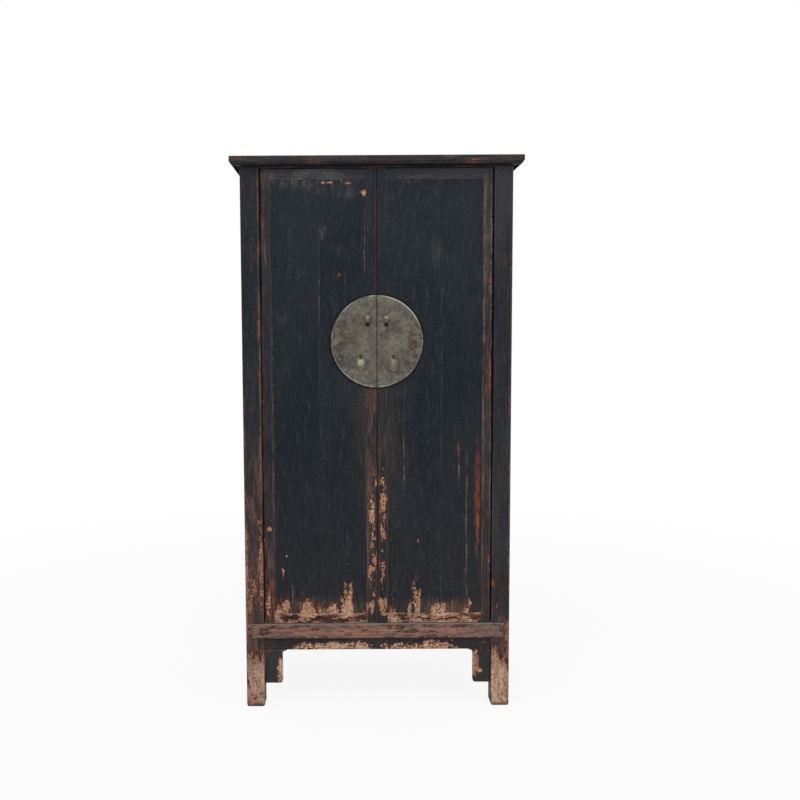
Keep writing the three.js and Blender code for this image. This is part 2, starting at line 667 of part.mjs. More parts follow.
// An arched staple: a strap that stands out from the plate, open from side to side.
function lockLoop(side) {
  const foot = PLATE_FRONT - CLEAR;
  const centre = [foot, LOOP_Z];
  const arch = new THREE.Shape();
  arch.absarc(...centre, LOOP_RADIUS, 0.5 * Math.PI, 1.5 * Math.PI);
  arch.absarc(...centre, LOOP_RADIUS - LOOP_STRAP, 1.5 * Math.PI, 0.5 * Math.PI, true);
  arch.closePath();
  const bevel = LOOP_ROUND;
  const x = mirrored(side, LOOP_X - LOOP_WIDTH / 2 + bevel, LOOP_X + LOOP_WIDTH / 2 - bevel);
  let loop = sweep(arch, 'x', x, {
    curveSegments: 9, bevelEnabled: true, bevelThickness: bevel, bevelSize: bevel,
    bevelOffset: -bevel, bevelSegments: 3,
  });
  const around = grown([LOOP_Z, LOOP_Z], 2 * LOOP_RADIUS);
  loop = loop.subtract(block(mirrored(side, 0, 2 * LOOP_X), [foot, foot + LOOP_RADIUS], around));
  for (const end of [-1, 1]) {
    const z = LOOP_Z + end * (LOOP_RADIUS - LOOP_STRAP / 2);
    loop = loop.add(rod('y', LOOP_LEG, [side * LOOP_X, z], [foot - 2, DOOR_BACK + 2.2], 12));
    const clinch = end > 0 ? [z, z + LOOP_CLINCH] : [z - LOOP_CLINCH, z];
    loop = loop.add(block(mirrored(side, LOOP_X - LOOP_LEG, LOOP_X + LOOP_LEG),
      [DOOR_BACK + CLEAR, DOOR_BACK + 1.9], clinch));
  }
  return loop;
}

function boreForLoop(hand, side) {
  const holed = [`face_plate_${hand}`, `meeting_stile_${hand}`, `door_board_inner_${hand}`];
  for (const end of [-1, 1]) {
    const z = LOOP_Z + end * (LOOP_RADIUS - LOOP_STRAP / 2);
    cut(holed, rod('y', LOOP_LEG + CLEAR, [side * LOOP_X, z], [PLATE_FRONT - 5, DOOR_BACK + 5], 12));
  }
}

// A split pin: the eye in front, the stem through plate and board, two legs turned behind.
function pullPin(side) {
  const centre = [PULL_Y, PULL_Z];
  const x = mirrored(side, PULL_X - EYE_THICK / 2, PULL_X + EYE_THICK / 2);
  const back = DOOR_FRONT + PANEL_RECESS + DOOR_PANEL + CLEAR;
  const eye = rod('x', EYE_RADIUS, centre, x, 18);
  const stem = rod('y', STEM_RADIUS, [side * PULL_X, PULL_Z], [PULL_Y + EYE_HOLE, back + 2], 12);
  const legs = block(x, [back, back + 1.8], [PULL_Z - 15, PULL_Z + 15]);
  return eye.add(stem).add(legs).subtract(rod('x', EYE_HOLE, centre, grown(x, 3), 14));
}

// The pendant hangs from a cross bar between two cheeks, and the eye fills its notch.
function pendantOutline(side) {
  const half = PULL_WIDTH / 2;
  const pointed = side < 0;
  const shape = new THREE.Shape();
  const centre = side * PULL_X;
  const at = (x, z) => [centre + x, PULL_Z + z];
  const waist = pointed ? -18 : -25;
  const shoulder = pointed ? 13 : 15;
  const belly = pointed ? [half, -34, 5, -42] : [half, -41, 11, -PULL_LENGTH];
  shape.moveTo(...at(-9, 5));
  shape.lineTo(...at(9, 5));
  shape.bezierCurveTo(...at(shoulder, 2), ...at(half, -9), ...at(half, waist));
  shape.bezierCurveTo(...at(belly[0], belly[1]), ...at(belly[2], belly[3]), ...at(0, -PULL_LENGTH));
  shape.bezierCurveTo(...at(-belly[2], belly[3]), ...at(-belly[0], belly[1]), ...at(-half, waist));
  shape.bezierCurveTo(...at(-half, -9), ...at(-shoulder, 2), ...at(-9, 5));
  return shape;
}

// A lens of metal trimmed to the outline, so that it is full in the middle and thin at the rim.
function pull(side) {
  const prism = sweep(pendantOutline(side), 'y', [PULL_Y - 5, PULL_Y + 5], { curveSegments: 7 });
  const lens = new THREE.SphereGeometry(1, 24, 14);
  lens.scale(PULL_WIDTH * 0.61, PULL_DOME, PULL_LENGTH * 0.64);
  lens.translate(side * PULL_X, PULL_Y, PULL_Z - PULL_LENGTH * 0.44);
  const notch = mirrored(side, PULL_X - PULL_NOTCH, PULL_X + PULL_NOTCH);
  const opening = block(notch, grown([PULL_Y, PULL_Y], 8), [PULL_Z - EYE_RADIUS - 1.2, PULL_Z + 20]);
  const bar = rod('x', BAR_RADIUS, [PULL_Y, PULL_Z], grown(notch, 2.5), 14);
  return prism.intersect(solid(lens)).subtract(opening).add(bar);
}

function buildMetalwork(hand, side) {
  const group = `door_${hand}`;
  add(`face_plate_${hand}`, group, WHITE_BRASS, facePlate(side));
  add(`lock_loop_${hand}`, group, WHITE_BRASS, lockLoop(side));
  boreForLoop(hand, side);
  add(`pull_pin_${hand}`, group, WHITE_BRASS, pullPin(side));
  const hole = rod('y', STEM_RADIUS + CLEAR, [side * PULL_X, PULL_Z], [PLATE_FRONT - 3, DOOR_BACK], 12);
  cut([`face_plate_${hand}`, `door_board_inner_${hand}`], hole);
  add(`pull_${hand}`, `pull_${hand}`, WHITE_BRASS, pull(side));
}

// ---------------------------------------------------------------- put together

buildCap();
buildPosts();
buildRails();
buildAprons();
buildPanels();
buildInterior();
for (const [hand, side] of HANDS) {
  buildDoor(hand, side);
  buildMetalwork(hand, side);
}

// Each moving group has its origin on its own hinge axis, so turning the group turns the part.
const armoire = new THREE.Group();
const groups = { carcass: armoire };
for (const [hand, side] of HANDS) {
  const door = new THREE.Group();
  door.position.set(side * PIVOT_X, PIVOT_Y, 0);
  armoire.add(door);
  const handle = new THREE.Group();
  handle.position.set(side * (PULL_X - PIVOT_X), PULL_Y - PIVOT_Y, PULL_Z);
  door.add(handle);
  groups[`door_${hand}`] = door;
  groups[`pull_${hand}`] = handle;
}
armoire.updateMatrixWorld(true);

for (const [name, { group, material, body }] of pieces) {
  const { numProp, vertProperties, triVerts } = body.getMesh();
  const geometry = new THREE.BufferGeometry();
  geometry.setAttribute('position', new THREE.BufferAttribute(vertProperties, numProp));
  geometry.setIndex(new THREE.BufferAttribute(triVerts, 1));
  geometry.applyMatrix4(groups[group].matrixWorld.clone().invert());
  const mesh = new THREE.Mesh(geometry, material);
  mesh.name = name;
  groups[group].add(mesh);
}

export default armoire;
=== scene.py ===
"""Dresses the solids of a tall lacquered armoire: worn lacquer, bare wood, aged white brass.

Lengths are in metres, but for the tables of wear, which are in millimetres. The front faces -Y
and the floor is at z = 0.
"""

import json
import math

import bmesh
import bpy
from mathutils import Matrix, Vector, geometry, noise


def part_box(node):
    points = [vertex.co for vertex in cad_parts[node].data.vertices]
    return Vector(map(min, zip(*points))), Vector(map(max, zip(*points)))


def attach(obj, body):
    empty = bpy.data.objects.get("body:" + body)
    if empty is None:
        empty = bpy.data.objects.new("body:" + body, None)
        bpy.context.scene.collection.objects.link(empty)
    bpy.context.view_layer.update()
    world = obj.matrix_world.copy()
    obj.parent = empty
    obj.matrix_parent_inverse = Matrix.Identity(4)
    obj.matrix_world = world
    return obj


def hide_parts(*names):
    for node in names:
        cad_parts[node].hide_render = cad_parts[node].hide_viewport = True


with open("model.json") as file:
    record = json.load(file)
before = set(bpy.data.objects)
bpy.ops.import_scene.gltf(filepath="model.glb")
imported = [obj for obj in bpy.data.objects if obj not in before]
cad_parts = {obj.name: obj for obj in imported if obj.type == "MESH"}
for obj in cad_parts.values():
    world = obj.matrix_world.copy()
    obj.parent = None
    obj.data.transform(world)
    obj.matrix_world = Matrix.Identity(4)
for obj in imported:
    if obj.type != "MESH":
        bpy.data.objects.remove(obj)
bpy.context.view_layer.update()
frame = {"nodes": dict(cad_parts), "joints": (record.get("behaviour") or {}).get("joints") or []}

bl_info = {
    "name": "Lacquered Armoire",
    "version": (1, 0, 0),
    "blender": (4, 5, 0),
    "location": "View3D > Sidebar > Armoire",
    "description": "Finishes, plate, pulls and stage of a two-door lacquered armoire",
    "category": "Object",
}

MM_IN_METRE = 1000
HANDS = (("left", -1), ("right", 1))
DOOR_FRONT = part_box("door_top_rail_left")[0].y
PLATE_LOW, PLATE_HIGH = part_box("face_plate_left")
PLATE_RADIUS = (PLATE_HIGH.z - PLATE_LOW.z) / 2
PLATE_CENTRE = (PLATE_HIGH.z + PLATE_LOW.z) / 2
PLATE_FACE = PLATE_LOW.y
HINGES = {joint["child"]: Vector(joint["pos_m"]) for joint in frame["joints"]}


# ---------------------------------------------------------------- node trees

NUMBER, VECTOR, COLOUR = "NodeSocketFloat", "NodeSocketVector", "NodeSocketColor"


def arithmetic(operation, turned=False):
    """A method that adds a Math node for a wire and another value, which may come first."""
    def method(self, other):
        return self.maths(operation, *((other, self) if turned else (self, other)))
    return method


class Wire:
    """A socket in a node tree. Arithmetic on it adds Math nodes, and node() adds any other."""

    __add__, __radd__ = arithmetic("ADD"), arithmetic("ADD", True)
    __sub__, __rsub__ = arithmetic("SUBTRACT"), arithmetic("SUBTRACT", True)
    __mul__, __rmul__ = arithmetic("MULTIPLY"), arithmetic("MULTIPLY", True)
    __truediv__, __rtruediv__ = arithmetic("DIVIDE"), arithmetic("DIVIDE", True)
    __pow__, __rpow__ = arithmetic("POWER"), arithmetic("POWER", True)
    least, most = arithmetic("MINIMUM"), arithmetic("MAXIMUM")

    def __init__(self, tree, socket=None):
        self.tree = tree
        self.socket = socket

    def __neg__(self):
        return self * -1.0

    def __abs__(self):
        return self.maths("ABSOLUTE", self)

    def node(self, kind, settings=None, sockets=None, output=0):
        """A node of that type, with its settings made first, then its values or links."""
        made = self.tree.nodes.new(kind)
        for name, value in (settings or {}).items():
            setattr(made, name, value)
        for name, value in (sockets or {}).items():
            if isinstance(value, Wire):
                self.tree.links.new(value.socket, made.inputs[name])
            else:
                made.inputs[name].default_value = value
        return Wire(self.tree, made.outputs[output]) if made.outputs else made

    def maths(self, operation, *values):
        return self.node("ShaderNodeMath", {"operation": operation}, dict(enumerate(values)))

    def vector(self, operation, *values, output=0):
        sockets = dict(enumerate(values))
        return self.node("ShaderNodeVectorMath", {"operation": operation}, sockets, output)

    def length(self):
        return self.vector("LENGTH", self, output="Value")

    def mix(self, first, second, share):
        """The first colour, turned towards the second by that share."""
        first, second = (tone if isinstance(tone, Wire) else (*tone[:3], 1.0)
                         for tone in (first, second))
        sockets = {0: share, 6: first, 7: second}
        return self.node("ShaderNodeMix", {"data_type": "RGBA"}, sockets, 2)

    def coats(self, base, layers):
        """The base colour under named layers: the colour of each, and how much of it shows."""
        for label, (colour, share) in layers.items():
            base = self.mix(base, colour, share)
            base.socket.node.label = label
        return base

    def ramp(self, low, high):
        """0 below low, 1 above high, and a smooth change between."""
        sockets = {"Value": self, "From Min": low, "From Max": high}
        return self.node("ShaderNodeMapRange", {"interpolation_type": "SMOOTHSTEP"}, sockets)

    def fade(self, reach):
        """1 at zero, and e times less with every further reach."""
        return self.maths("EXPONENT", -(self / reach))

    def bell(self, width):
        """1 at zero, falling to nearly nothing at twice the width on either side."""
        return self.maths("EXPONENT", -((self / width) ** 2.0))

    def speckle(self, place, scale, detail=3.0, roughness=0.5, output=0):
        """Cloudy noise about a half, at so many lumps to the metre."""
        sockets = {"Vector": place, "Scale": scale, "Detail": detail, "Roughness": roughness}
        return self.node("ShaderNodeTexNoise", {"noise_dimensions": "3D"}, sockets, output)

    def part(self, axis):
        return self.node("ShaderNodeSeparateXYZ", None, {0: self}, axis)


def group_tree(name, inputs, outputs):
    """An empty shader group, the wires of its inputs by name, and its output node."""
    tree = bpy.data.node_groups.new(name, "ShaderNodeTree")
    for in_out, sockets in (("INPUT", inputs), ("OUTPUT", outputs)):
        for label, kind in sockets.items():
            tree.interface.new_socket(label, in_out=in_out, socket_type=kind)
    entry = tree.nodes.new("NodeGroupInput")
    wires = {label: Wire(tree, entry.outputs[label]) for label in inputs}
    return tree, wires, tree.nodes.new("NodeGroupOutput")


def finish_group(tree, leave, results):
    for label, wire in results.items():
        tree.links.new(wire.socket, leave.inputs[label])


def surface(name, slot):
    """A new material and its root wire."""
    material = bpy.data.materials.new(name)
    material.use_nodes = True
    material["slot"] = slot
    return material, Wire(material.node_tree)


def finish_surface(material, wires, height, strength, distance, constants):
    """Links the wires and the relief to a material's shader, and sets its constants."""
    tree = material.node_tree
    shader = tree.nodes["Principled BSDF"]
    bump = Wire(tree).node("ShaderNodeBump", None,
                           {"Strength": strength, "Distance": distance, "Height": height})
    for name, wire in {**wires, "Normal": bump}.items():
        tree.links.new(wire.socket, shader.inputs[name])
    for name, value in constants.items():
        shader.inputs[name].default_value = value
    return material


# ---------------------------------------------------------------- settings


def paint(name, description, *default):
    """A colour that can be set."""
    return bpy.props.FloatVectorProperty(name=name, description=description, subtype="COLOR",
                                         size=3, min=0, max=1, default=default)


def measure(name, description, default, least, most, **kind):
    """A number that can be set. Its kind is a unit or a subtype."""
    return bpy.props.FloatProperty(name=name, description=description, default=default,
                                   min=least, max=most, **kind)


class ArmoireLacquer(bpy.types.PropertyGroup):
    """Colours and wear of the woodwork."""

    lacquer: paint("Lacquer", "Blue-black top coat", 0.0085, 0.0132, 0.0195)
    faded: paint("Faded lacquer", "Top coat where light has greyed it", 0.0135, 0.0185, 0.0245)
    ground: paint("Ground", "Red-brown coat under the lacquer", 0.08, 0.033, 0.025)
    vermilion: paint("Vermilion", "Bright red left of an older coat", 0.25, 0.055, 0.027)
    wood: paint("Bare wood", "Softwood where every coat is gone", 0.62, 0.41, 0.288)
    stained: paint("Stained wood", "Bare wood that has taken up dirt", 0.17, 0.088, 0.064)
    inside: paint("Inside wood", "Unfinished boards inside", 0.2, 0.122, 0.072)
    wear: measure("Wear", "How far the coats have gone overall", 0.0, -0.5, 0.5,
                  subtype="FACTOR")


class ArmoireBrass(bpy.types.PropertyGroup):
    """Sizes and colours of the metalwork."""

    metal: paint("White brass", "Aged face of the plate", 0.128, 0.116, 0.096)
    stain: paint("Stain", "Brown tarnish", 0.075, 0.052, 0.034)
    # The bright colour of rubbed metal, also used for the painted highlights.
    polish_and_highlight: paint("Polish and highlight", "Rubbed metal, and the painted highlights", 0.46, 0.44, 0.38)
    nail_head: measure("Nail head", "Diameter of a plate nail's head", 0.0036, 0.001, 0.01,
                       unit="LENGTH")
    nail_inset: measure("Nail inset", "From the plate's rim to its nails", 0.0115, 0.002, 0.05,
                        unit="LENGTH")
    nail_count: bpy.props.IntProperty(
        name="Nails", description="Nails in each half of the plate", min=2, max=24, default=4)
    hammer: measure("Hammer marks", "Depth of the hollows left by the hammer", 0.00022, 0, 0.001,
                    unit="LENGTH")


class ArmoireStage(bpy.types.PropertyGroup):
    """Camera, floor and lamps."""

    distance: measure("Distance", "From the camera to the front of the doors", 3.2, 1, 20,
                      unit="LENGTH")
    aside: measure("Aside", "How far to the left the camera stands", 0.1, -2, 2, unit="LENGTH")
    eye: measure("Eye height", "Height of the camera", 1.35, 0, 5, unit="LENGTH")
    tilt: measure("Tilt", "How far the camera looks down", math.radians(4.8), -1, 1,
                  unit="ROTATION")
    roll: measure("Roll", "Turn of the camera about its view", math.radians(-0.3), -0.2, 0.2,
                  unit="ROTATION")
    lens: measure("Lens", "Focal length on a 36 mm sensor", 42.2, 10, 200, unit="CAMERA")
    key: measure("Key lamp", "Power of the overhead lamp", 60, 0, 1000, unit="POWER")
    sky: measure("Sky", "Light from all round", 0.62, 0, 2)


SETTINGS = {"armoire_lacquer": ArmoireLacquer, "armoire_brass": ArmoireBrass,
            "armoire_stage": ArmoireStage}


# ---------------------------------------------------------------- lacquered wood

MARK_KINDS = ("Marks", "Hazes", "Rubs", "Scratches", "Grime_and_shade")
WEAR_INPUTS = {
    **dict.fromkeys(("Low", "High", "Grain", "Inner"), VECTOR),
    **dict.fromkeys(("Inner above", "Wear", "Dust", "Haze", "Fade", "Brown", "Red", "Dirt",
                     "Line", "Edge", "Foot", "Kick", "Kick reach", "Even", "Warm", "Seed",
                     *MARK_KINDS), NUMBER),
}
WEAR_OUTPUTS = {"Color": COLOUR, "Roughness": NUMBER, "Height": NUMBER}

# Noise on the lacquer: how much of its pattern is left as it is along the grain, its lumps to
# the metre, its detail and its roughness.
NOISE = {
    "cloud": (0.4, 5.0, 2.0, 0.5),
    "patch": (0.25, 17.0, 3.0, 0.55),
    "chip": (0.24, 58.0, 3.0, 0.55),
    "flake": (0.6, 230.0, 3.0, 0.6),
    "streak": (0.02, 170.0, 3.0, 0.6),
    "fibre": (0.0, 620.0, 2.0, 0.5),
    "rings": (0.0, 75.0, 3.0, 0.6),
}
# The noise strays from its middle by about this much. Wear has to outweigh the coats' hold.
NOISE_SPREAD = 0.055
HOLD, WEAR_FORCE = 3.0, 5.2
# The worn band beside an arris, the line along it, and how far inside a panel's outer face the
# bare wood of the inner faces ends.
ARRIS_BAND, ARRIS_LINE, REVEAL = 0.008, 0.0017, 0.001


def lacquer_group(tone):
    """Black lacquer over a red ground over softwood, worn through from the arrises.

    Low and High are the corners of the member, so that the distance to its nearest arris is
    known. Grain shortens every pattern along the fibres, and faces that look along Inner are
    bare above the height Inner above. Wear sets how much has chipped off, Dust how grey the
    faces that look up have gone, Haze how far the lacquer is rubbed thin, Fade how grey light
    has made it, Brown how far it has gone brown, Red how much vermilion is in the ground, Dirt
    how dark the bare wood is, Line and Edge how worn the arris and the band beside it are, Foot
    the wear near the floor, and Kick the wear that rises from the lower edge of the member, in
    streaks unless Even is 1. Warm is how orange fresh chips are. Marks, Hazes, Rubs, Scratches
    and the input of dark marks and shade have their own place; that input holds dark marks and
    a painted shadow round the plate. Faces that look down are darkened with painted shade.
    """
    tree, given, leave = group_tree("Worn lacquer", WEAR_INPUTS, WEAR_OUTPUTS)
    root = Wire(tree)
    place = root.node("ShaderNodeTexCoord", output="Object")
    facing = root.node("ShaderNodeTexCoord", output="Normal")
    height = place.part(2)

    above_low = root.vector("SUBTRACT", place, given["Low"])
    inset = root.vector("MINIMUM", above_low, root.vector("SUBTRACT", given["High"], place))
    across, deep, tall = inset.part(0), inset.part(1), inset.part(2)
    arris = across.least(deep).most(across.most(deep).least(tall))

    shift = root.node("ShaderNodeCombineXYZ", None,
                      {0: given["Seed"] * 3.7, 1: given["Seed"] * 1.9, 2: given["Seed"] * 5.3})
    seeded = root.vector("ADD", place, shift)

    def stretched(share):
        """The place, drawn out along the grain; a share of 1 leaves it as it is."""
        scale = root.vector("MULTIPLY_ADD", given["Grain"], (1 - share,) * 3, (share,) * 3)
        return root.vector("MULTIPLY", seeded, scale)

    cloud, patch, chip, flake, streak, fibre, rings = (
        root.speckle(stretched(share), *kind) for share, *kind in NOISE.values())
    drips = root.speckle(root.vector("MULTIPLY", seeded, (1.0, 1.0, 0.15)), 34.0, 2.0)
    spots = root.speckle(seeded, 95.0, 2.0)

    low_down = 1 - height.ramp(0.12, 1.15)
    foot = (1 - height.ramp(0.1, 0.27)) * given["Foot"] * (1 - 0.6 * abs(facing.part(0)))
    kick = above_low.part(2).fade(given["Kick reach"]) * given["Kick"]
    kick = kick * (0.2 + 1.6 * drips.ramp(0.4, 0.62)).most(given["Even"])
    edge = given["Edge"] * arris.fade(ARRIS_BAND) * (0.08 + 0.92 * low_down)
    marks = given["Marks"] * (0.74 + 0.42 * flake.ramp(0.4, 0.56))
    amount = given["Wear"] + tone.wear + marks + 0.05 * low_down + foot + kick + edge
    field = 0.54 * chip + 0.21 * patch + 0.25 * flake
    depth = (field - 0.5) / NOISE_SPREAD - HOLD + WEAR_FORCE * amount
    bare = depth.ramp(0.0, 0.35)
    ground = depth.ramp(-0.9, -0.5)
    rim = depth.ramp(-1.5, -1.15) * (1 - depth.ramp(-0.85, -0.55))
    rubbed = depth.ramp(-2.5, -1.0)

    worn_line = arris.bell(ARRIS_LINE) * given["Line"]
    worn_line = worn_line * cloud.ramp(0.3, 0.56) * (0.35 + 0.65 * low_down)
    worn_line = (worn_line + 0.7 * (flake - 0.5)).ramp(0.12, 0.5)
    haze = given["Haze"] * (0.3 + 0.9 * patch.ramp(0.36, 0.62)) + 0.45 * rubbed + 0.9 * edge
    haze = haze + given["Hazes"] * (0.6 + 0.65 * patch.ramp(0.42, 0.54))
    haze = haze * (0.5 + 0.8 * streak.ramp(0.38, 0.6))

    brown = root.coats((0.31, 0.17, 0.132), {
        "dark fibres": ((0.12, 0.06, 0.048), 0.45 * streak.ramp(0.42, 0.62)),
        "orange clouds": ((0.4, 0.165, 0.095), 0.3 * cloud.ramp(0.46, 0.6)),
        "grey clouds": ((0.19, 0.145, 0.122), 0.7 * (1 - cloud.ramp(0.36, 0.48))),
        "pale patches": ((0.42, 0.3, 0.245), 0.5 * patch.ramp(0.48, 0.66)),
    })
    thin = root.mix((0.078, 0.051, 0.046), (0.155, 0.08, 0.062), (haze - 0.35).ramp(0.0, 0.8))
    black = root.coats(tone.lacquer, {
        "greyed by light": (tone.faded, cloud.ramp(0.34, 0.66)),
        "browner low down": ((0.0225, 0.0215, 0.0225), 0.7 * low_down),
        "dark fibres": ((0.005, 0.007, 0.01), 0.45 * (1 - streak.ramp(0.34, 0.5))),
        "pale fibres": ((0.033, 0.036, 0.041), 0.5 * streak.ramp(0.54, 0.72)),
        "dull patches": ((0.042, 0.043, 0.046), 0.2 * chip.ramp(0.54, 0.7)),
        "fine dust": ((0.05, 0.052, 0.055), 0.5 * flake.ramp(0.55, 0.7)),
        "faded": ((0.05, 0.051, 0.058), given["Fade"] * (0.3 + 0.9 * cloud.ramp(0.4, 0.6))),
        "gone brown": (brown, (given["Brown"] * (0.55 + 0.9 * chip.ramp(0.36, 0.56))).least(1.0)),
        "rubbed thin": (thin, haze.least(0.92)),
    })
    red = root.coats(tone.ground, {
        "lighter beside the wood": ((0.13, 0.056, 0.036), depth.ramp(-0.9, -0.2)),
        "vermilion": (tone.vermilion,
                      (given["Red"] * (0.25 + 1.1 * patch.ramp(0.4, 0.6))).most(given["Rubs"])),
        "orange low down": ((0.34, 0.135, 0.06), given["Rubs"] * (1 - height.ramp(0.58, 0.78))
                            * chip.ramp(0.42, 0.58)),
        "dark grain": ((0.022, 0.016, 0.015), (0.6 * fibre.ramp(0.5, 0.66)).most(
            0.75 * given["Rubs"] * (1 - flake.ramp(0.4, 0.52)))),
    })
    wood = root.coats(tone.wood, {
        "dirt": (tone.stained, (given["Dirt"] + 0.4 * rings.ramp(0.42, 0.66)).least(1.0)),
        "orange": ((0.42, 0.2, 0.105), given["Marks"].ramp(0.15, 0.7)
                   * (given["Warm"] + 0.55 * (1 - patch.ramp(0.42, 0.58)))),
        "red beside the ground": ((0.25, 0.095, 0.05), 0.85 * (1 - depth.ramp(0.3, 2.2))),
        "pale flakes": ((0.7, 0.5, 0.37), flake.ramp(0.46, 0.62) * (0.4 - 0.3 * given["Dirt"])),
        "pits": ((0.06, 0.036, 0.027), 0.8 * (1 - flake.ramp(0.35, 0.46))),
        "brown spots": ((0.2, 0.088, 0.055), 0.4 * (1 - spots.ramp(0.36, 0.52))),
        "fibres": ((0.11, 0.06, 0.04), 0.4 * fibre.ramp(0.5, 0.68)),
        "coat left on the leg": ((0.19, 0.085, 0.062), given["Foot"] * height.ramp(0.09, 0.2)
                                 * (0.12 + 0.6 * chip.ramp(0.44, 0.54))),
        "damp foot": ((0.05, 0.036, 0.03), given["Foot"] * (1 - height.ramp(0.004, 0.02))
                      * chip.ramp(0.36, 0.54) * 0.8),
    })
    plain = root.coats(tone.inside, {
        "rings": ((0.11, 0.066, 0.04), 0.75 * rings.ramp(0.4, 0.64)),
        "stains": ((0.06, 0.04, 0.028),
                   (0.55 * fibre.ramp(0.5, 0.7)).most(0.6 * cloud.ramp(0.5, 0.7))),
    })

    worn_red = (given["Rubs"] * (0.12 + 1.4 * streak.ramp(0.4, 0.6))).least(0.92)
    pale = given["Scratches"] * (0.15 + 0.9 * chip.ramp(0.4, 0.6))
    pale = pale * (0.35 + flake.ramp(0.44, 0.58))
    scuff = root.mix((0.21, 0.15, 0.122), (0.165, 0.158, 0.16),
                     height.ramp(1.2, 1.75) * (1 - place.part(0).ramp(0.1, 0.3)))
    dots, chosen = (root.node("ShaderNodeTexVoronoi", {"feature": "F1"},
                              {"Vector": place, "Scale": 38.0}, output) for output in (0, "Color"))
    speck = (1 - dots.ramp(0.035, 0.1)) * chosen.part(0).ramp(0.55, 0.9)
    speck = speck * (0.35 + 0.65 * low_down)
    dust = facing.part(2).ramp(0.45, 0.9) * given["Dust"]
    dust = dust * (0.55 + 0.9 * (0.5 * patch + 0.5 * chip))
    # Painted shade: faces that look down are darkened, the more the further they turn down.
    under = (-facing.part(2)).ramp(0.15, 0.85)
    inward = root.vector("DOT_PRODUCT", facing, given["Inner"], output="Value").ramp(0.5, 0.8)
    inward = inward * (height - given["Inner above"]).ramp(0.0, 0.002)
    side_face, back_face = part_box("side_panel_right")[1].x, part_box("back_panel_right")[1].y
    inward = inward * (1 - abs(place.part(0)).ramp(side_face - REVEAL, side_face))
    inward = inward * (1 - place.part(1).ramp(back_face - REVEAL, back_face))
    colour = root.coats(black, {
        "red ground": (red, ground.most(worn_red)),
        "dark rim of a chip": ((0.006, 0.005, 0.005), 0.85 * rim),
        "worn arris": ((0.15, 0.096, 0.078), 0.8 * worn_line),
        "scratches": (scuff, pale.least(0.9)),
        "bare wood": (wood, bare),
        "specks": ((0.24, 0.21, 0.195), 0.75 * speck),
        "dust": ((0.215, 0.2, 0.187), dust.least(0.92)),
        # Painted shade on faces that look down, with the dark marks and the painted shadow round
        # the plate.
        "darkening": ((0.004, 0.0036, 0.0036), (0.55 * under).most(given["Grime_and_shade"])),
        "inner faces": (plain, inward),
    })

    roughness = 0.42 + 0.14 * cloud + 0.1 * rubbed + 0.16 * ground + 0.12 * bare + 0.1 * dust
    roughness = roughness.most(0.75 * inward)
    relief = ((1 - bare) * 0.5 + (1 - ground) * 0.4 + 0.25 * fibre * (0.4 + bare)
              + 0.15 * rings * bare + 0.12 * flake + 0.08 * streak)
    finish_group(tree, leave, {"Color": colour, "Roughness": roughness, "Height": relief})
    return tree


# What members of each grain draw their patterns out by, which of them have marks of their own,
# and which are worn enough for a slot of their own.
GRAIN = {"x": (0.07, 1.0, 1.0), "y": (1.0, 0.07, 1.0), "z": (1.0, 1.0, 0.07)}
MARKED = ("post_front", "apron_front", "spandrel", "hinge", "meeting", "door")
WORN = ("post", "head_rail_front", "bottom_rail_front", "hinge", "door_bottom")
# How far a spandrel's swept corner reaches past the edge that is worn.
SWEPT = {"spandrel_left": -0.015, "spandrel_right": 0.015}


def lacquered(node, group, marks, grain, shine=0.1, **amounts):
    """The lacquer as it has worn on one member."""
    worn = node.startswith(WORN)
    material, root = surface(f"lacquer {node}", "worn_lacquer" if worn else "lacquered_wood")
    low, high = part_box(node)
    if node in SWEPT:
        low.x += max(SWEPT[node], 0)
        high.x += min(SWEPT[node], 0)
    sockets = {"Low": low, "High": high, "Grain": GRAIN[grain], "Kick reach": 0.03,
               "Inner above": -1.0, "Dust": 0.22, "Line": 0.8, "Foot": 0.3,
               "Seed": (sum(ord(letter) for letter in node) % 97) / 97.0}
    for label, value in amounts.items():
        sockets[label.replace("_", " ").capitalize()] = value
    if node.startswith(MARKED):
        own = root.node("ShaderNodeGroup", {"node_tree": marks}).socket.node
        sockets.update({label: Wire(root.tree, own.outputs[label]) for label in MARK_KINDS})
    coat = root.node("ShaderNodeGroup", {"node_tree": group}, sockets).socket.node
    colour, roughness, relief = (Wire(root.tree, coat.outputs[label]) for label in WEAR_OUTPUTS)
    return finish_surface(material, {"Base Color": colour, "Roughness": roughness}, relief,
                          0.5, 0.0006, {"Specular IOR Level": shine})


def lacquer_members(context, members):
    """Lacquers each member, by its name, its grain and how it has worn."""
    group, marks = lacquer_group(context.scene.armoire_lacquer), marks_group()
    for node, (grain, amounts) in members.items():
        dress(node, lacquered(node, group, marks, grain, **amounts))


def dress(node, material):
    """Gives a CAD node its finish."""
    item = frame["nodes"][node]
    for place in item.material_slots:
        place.material = material


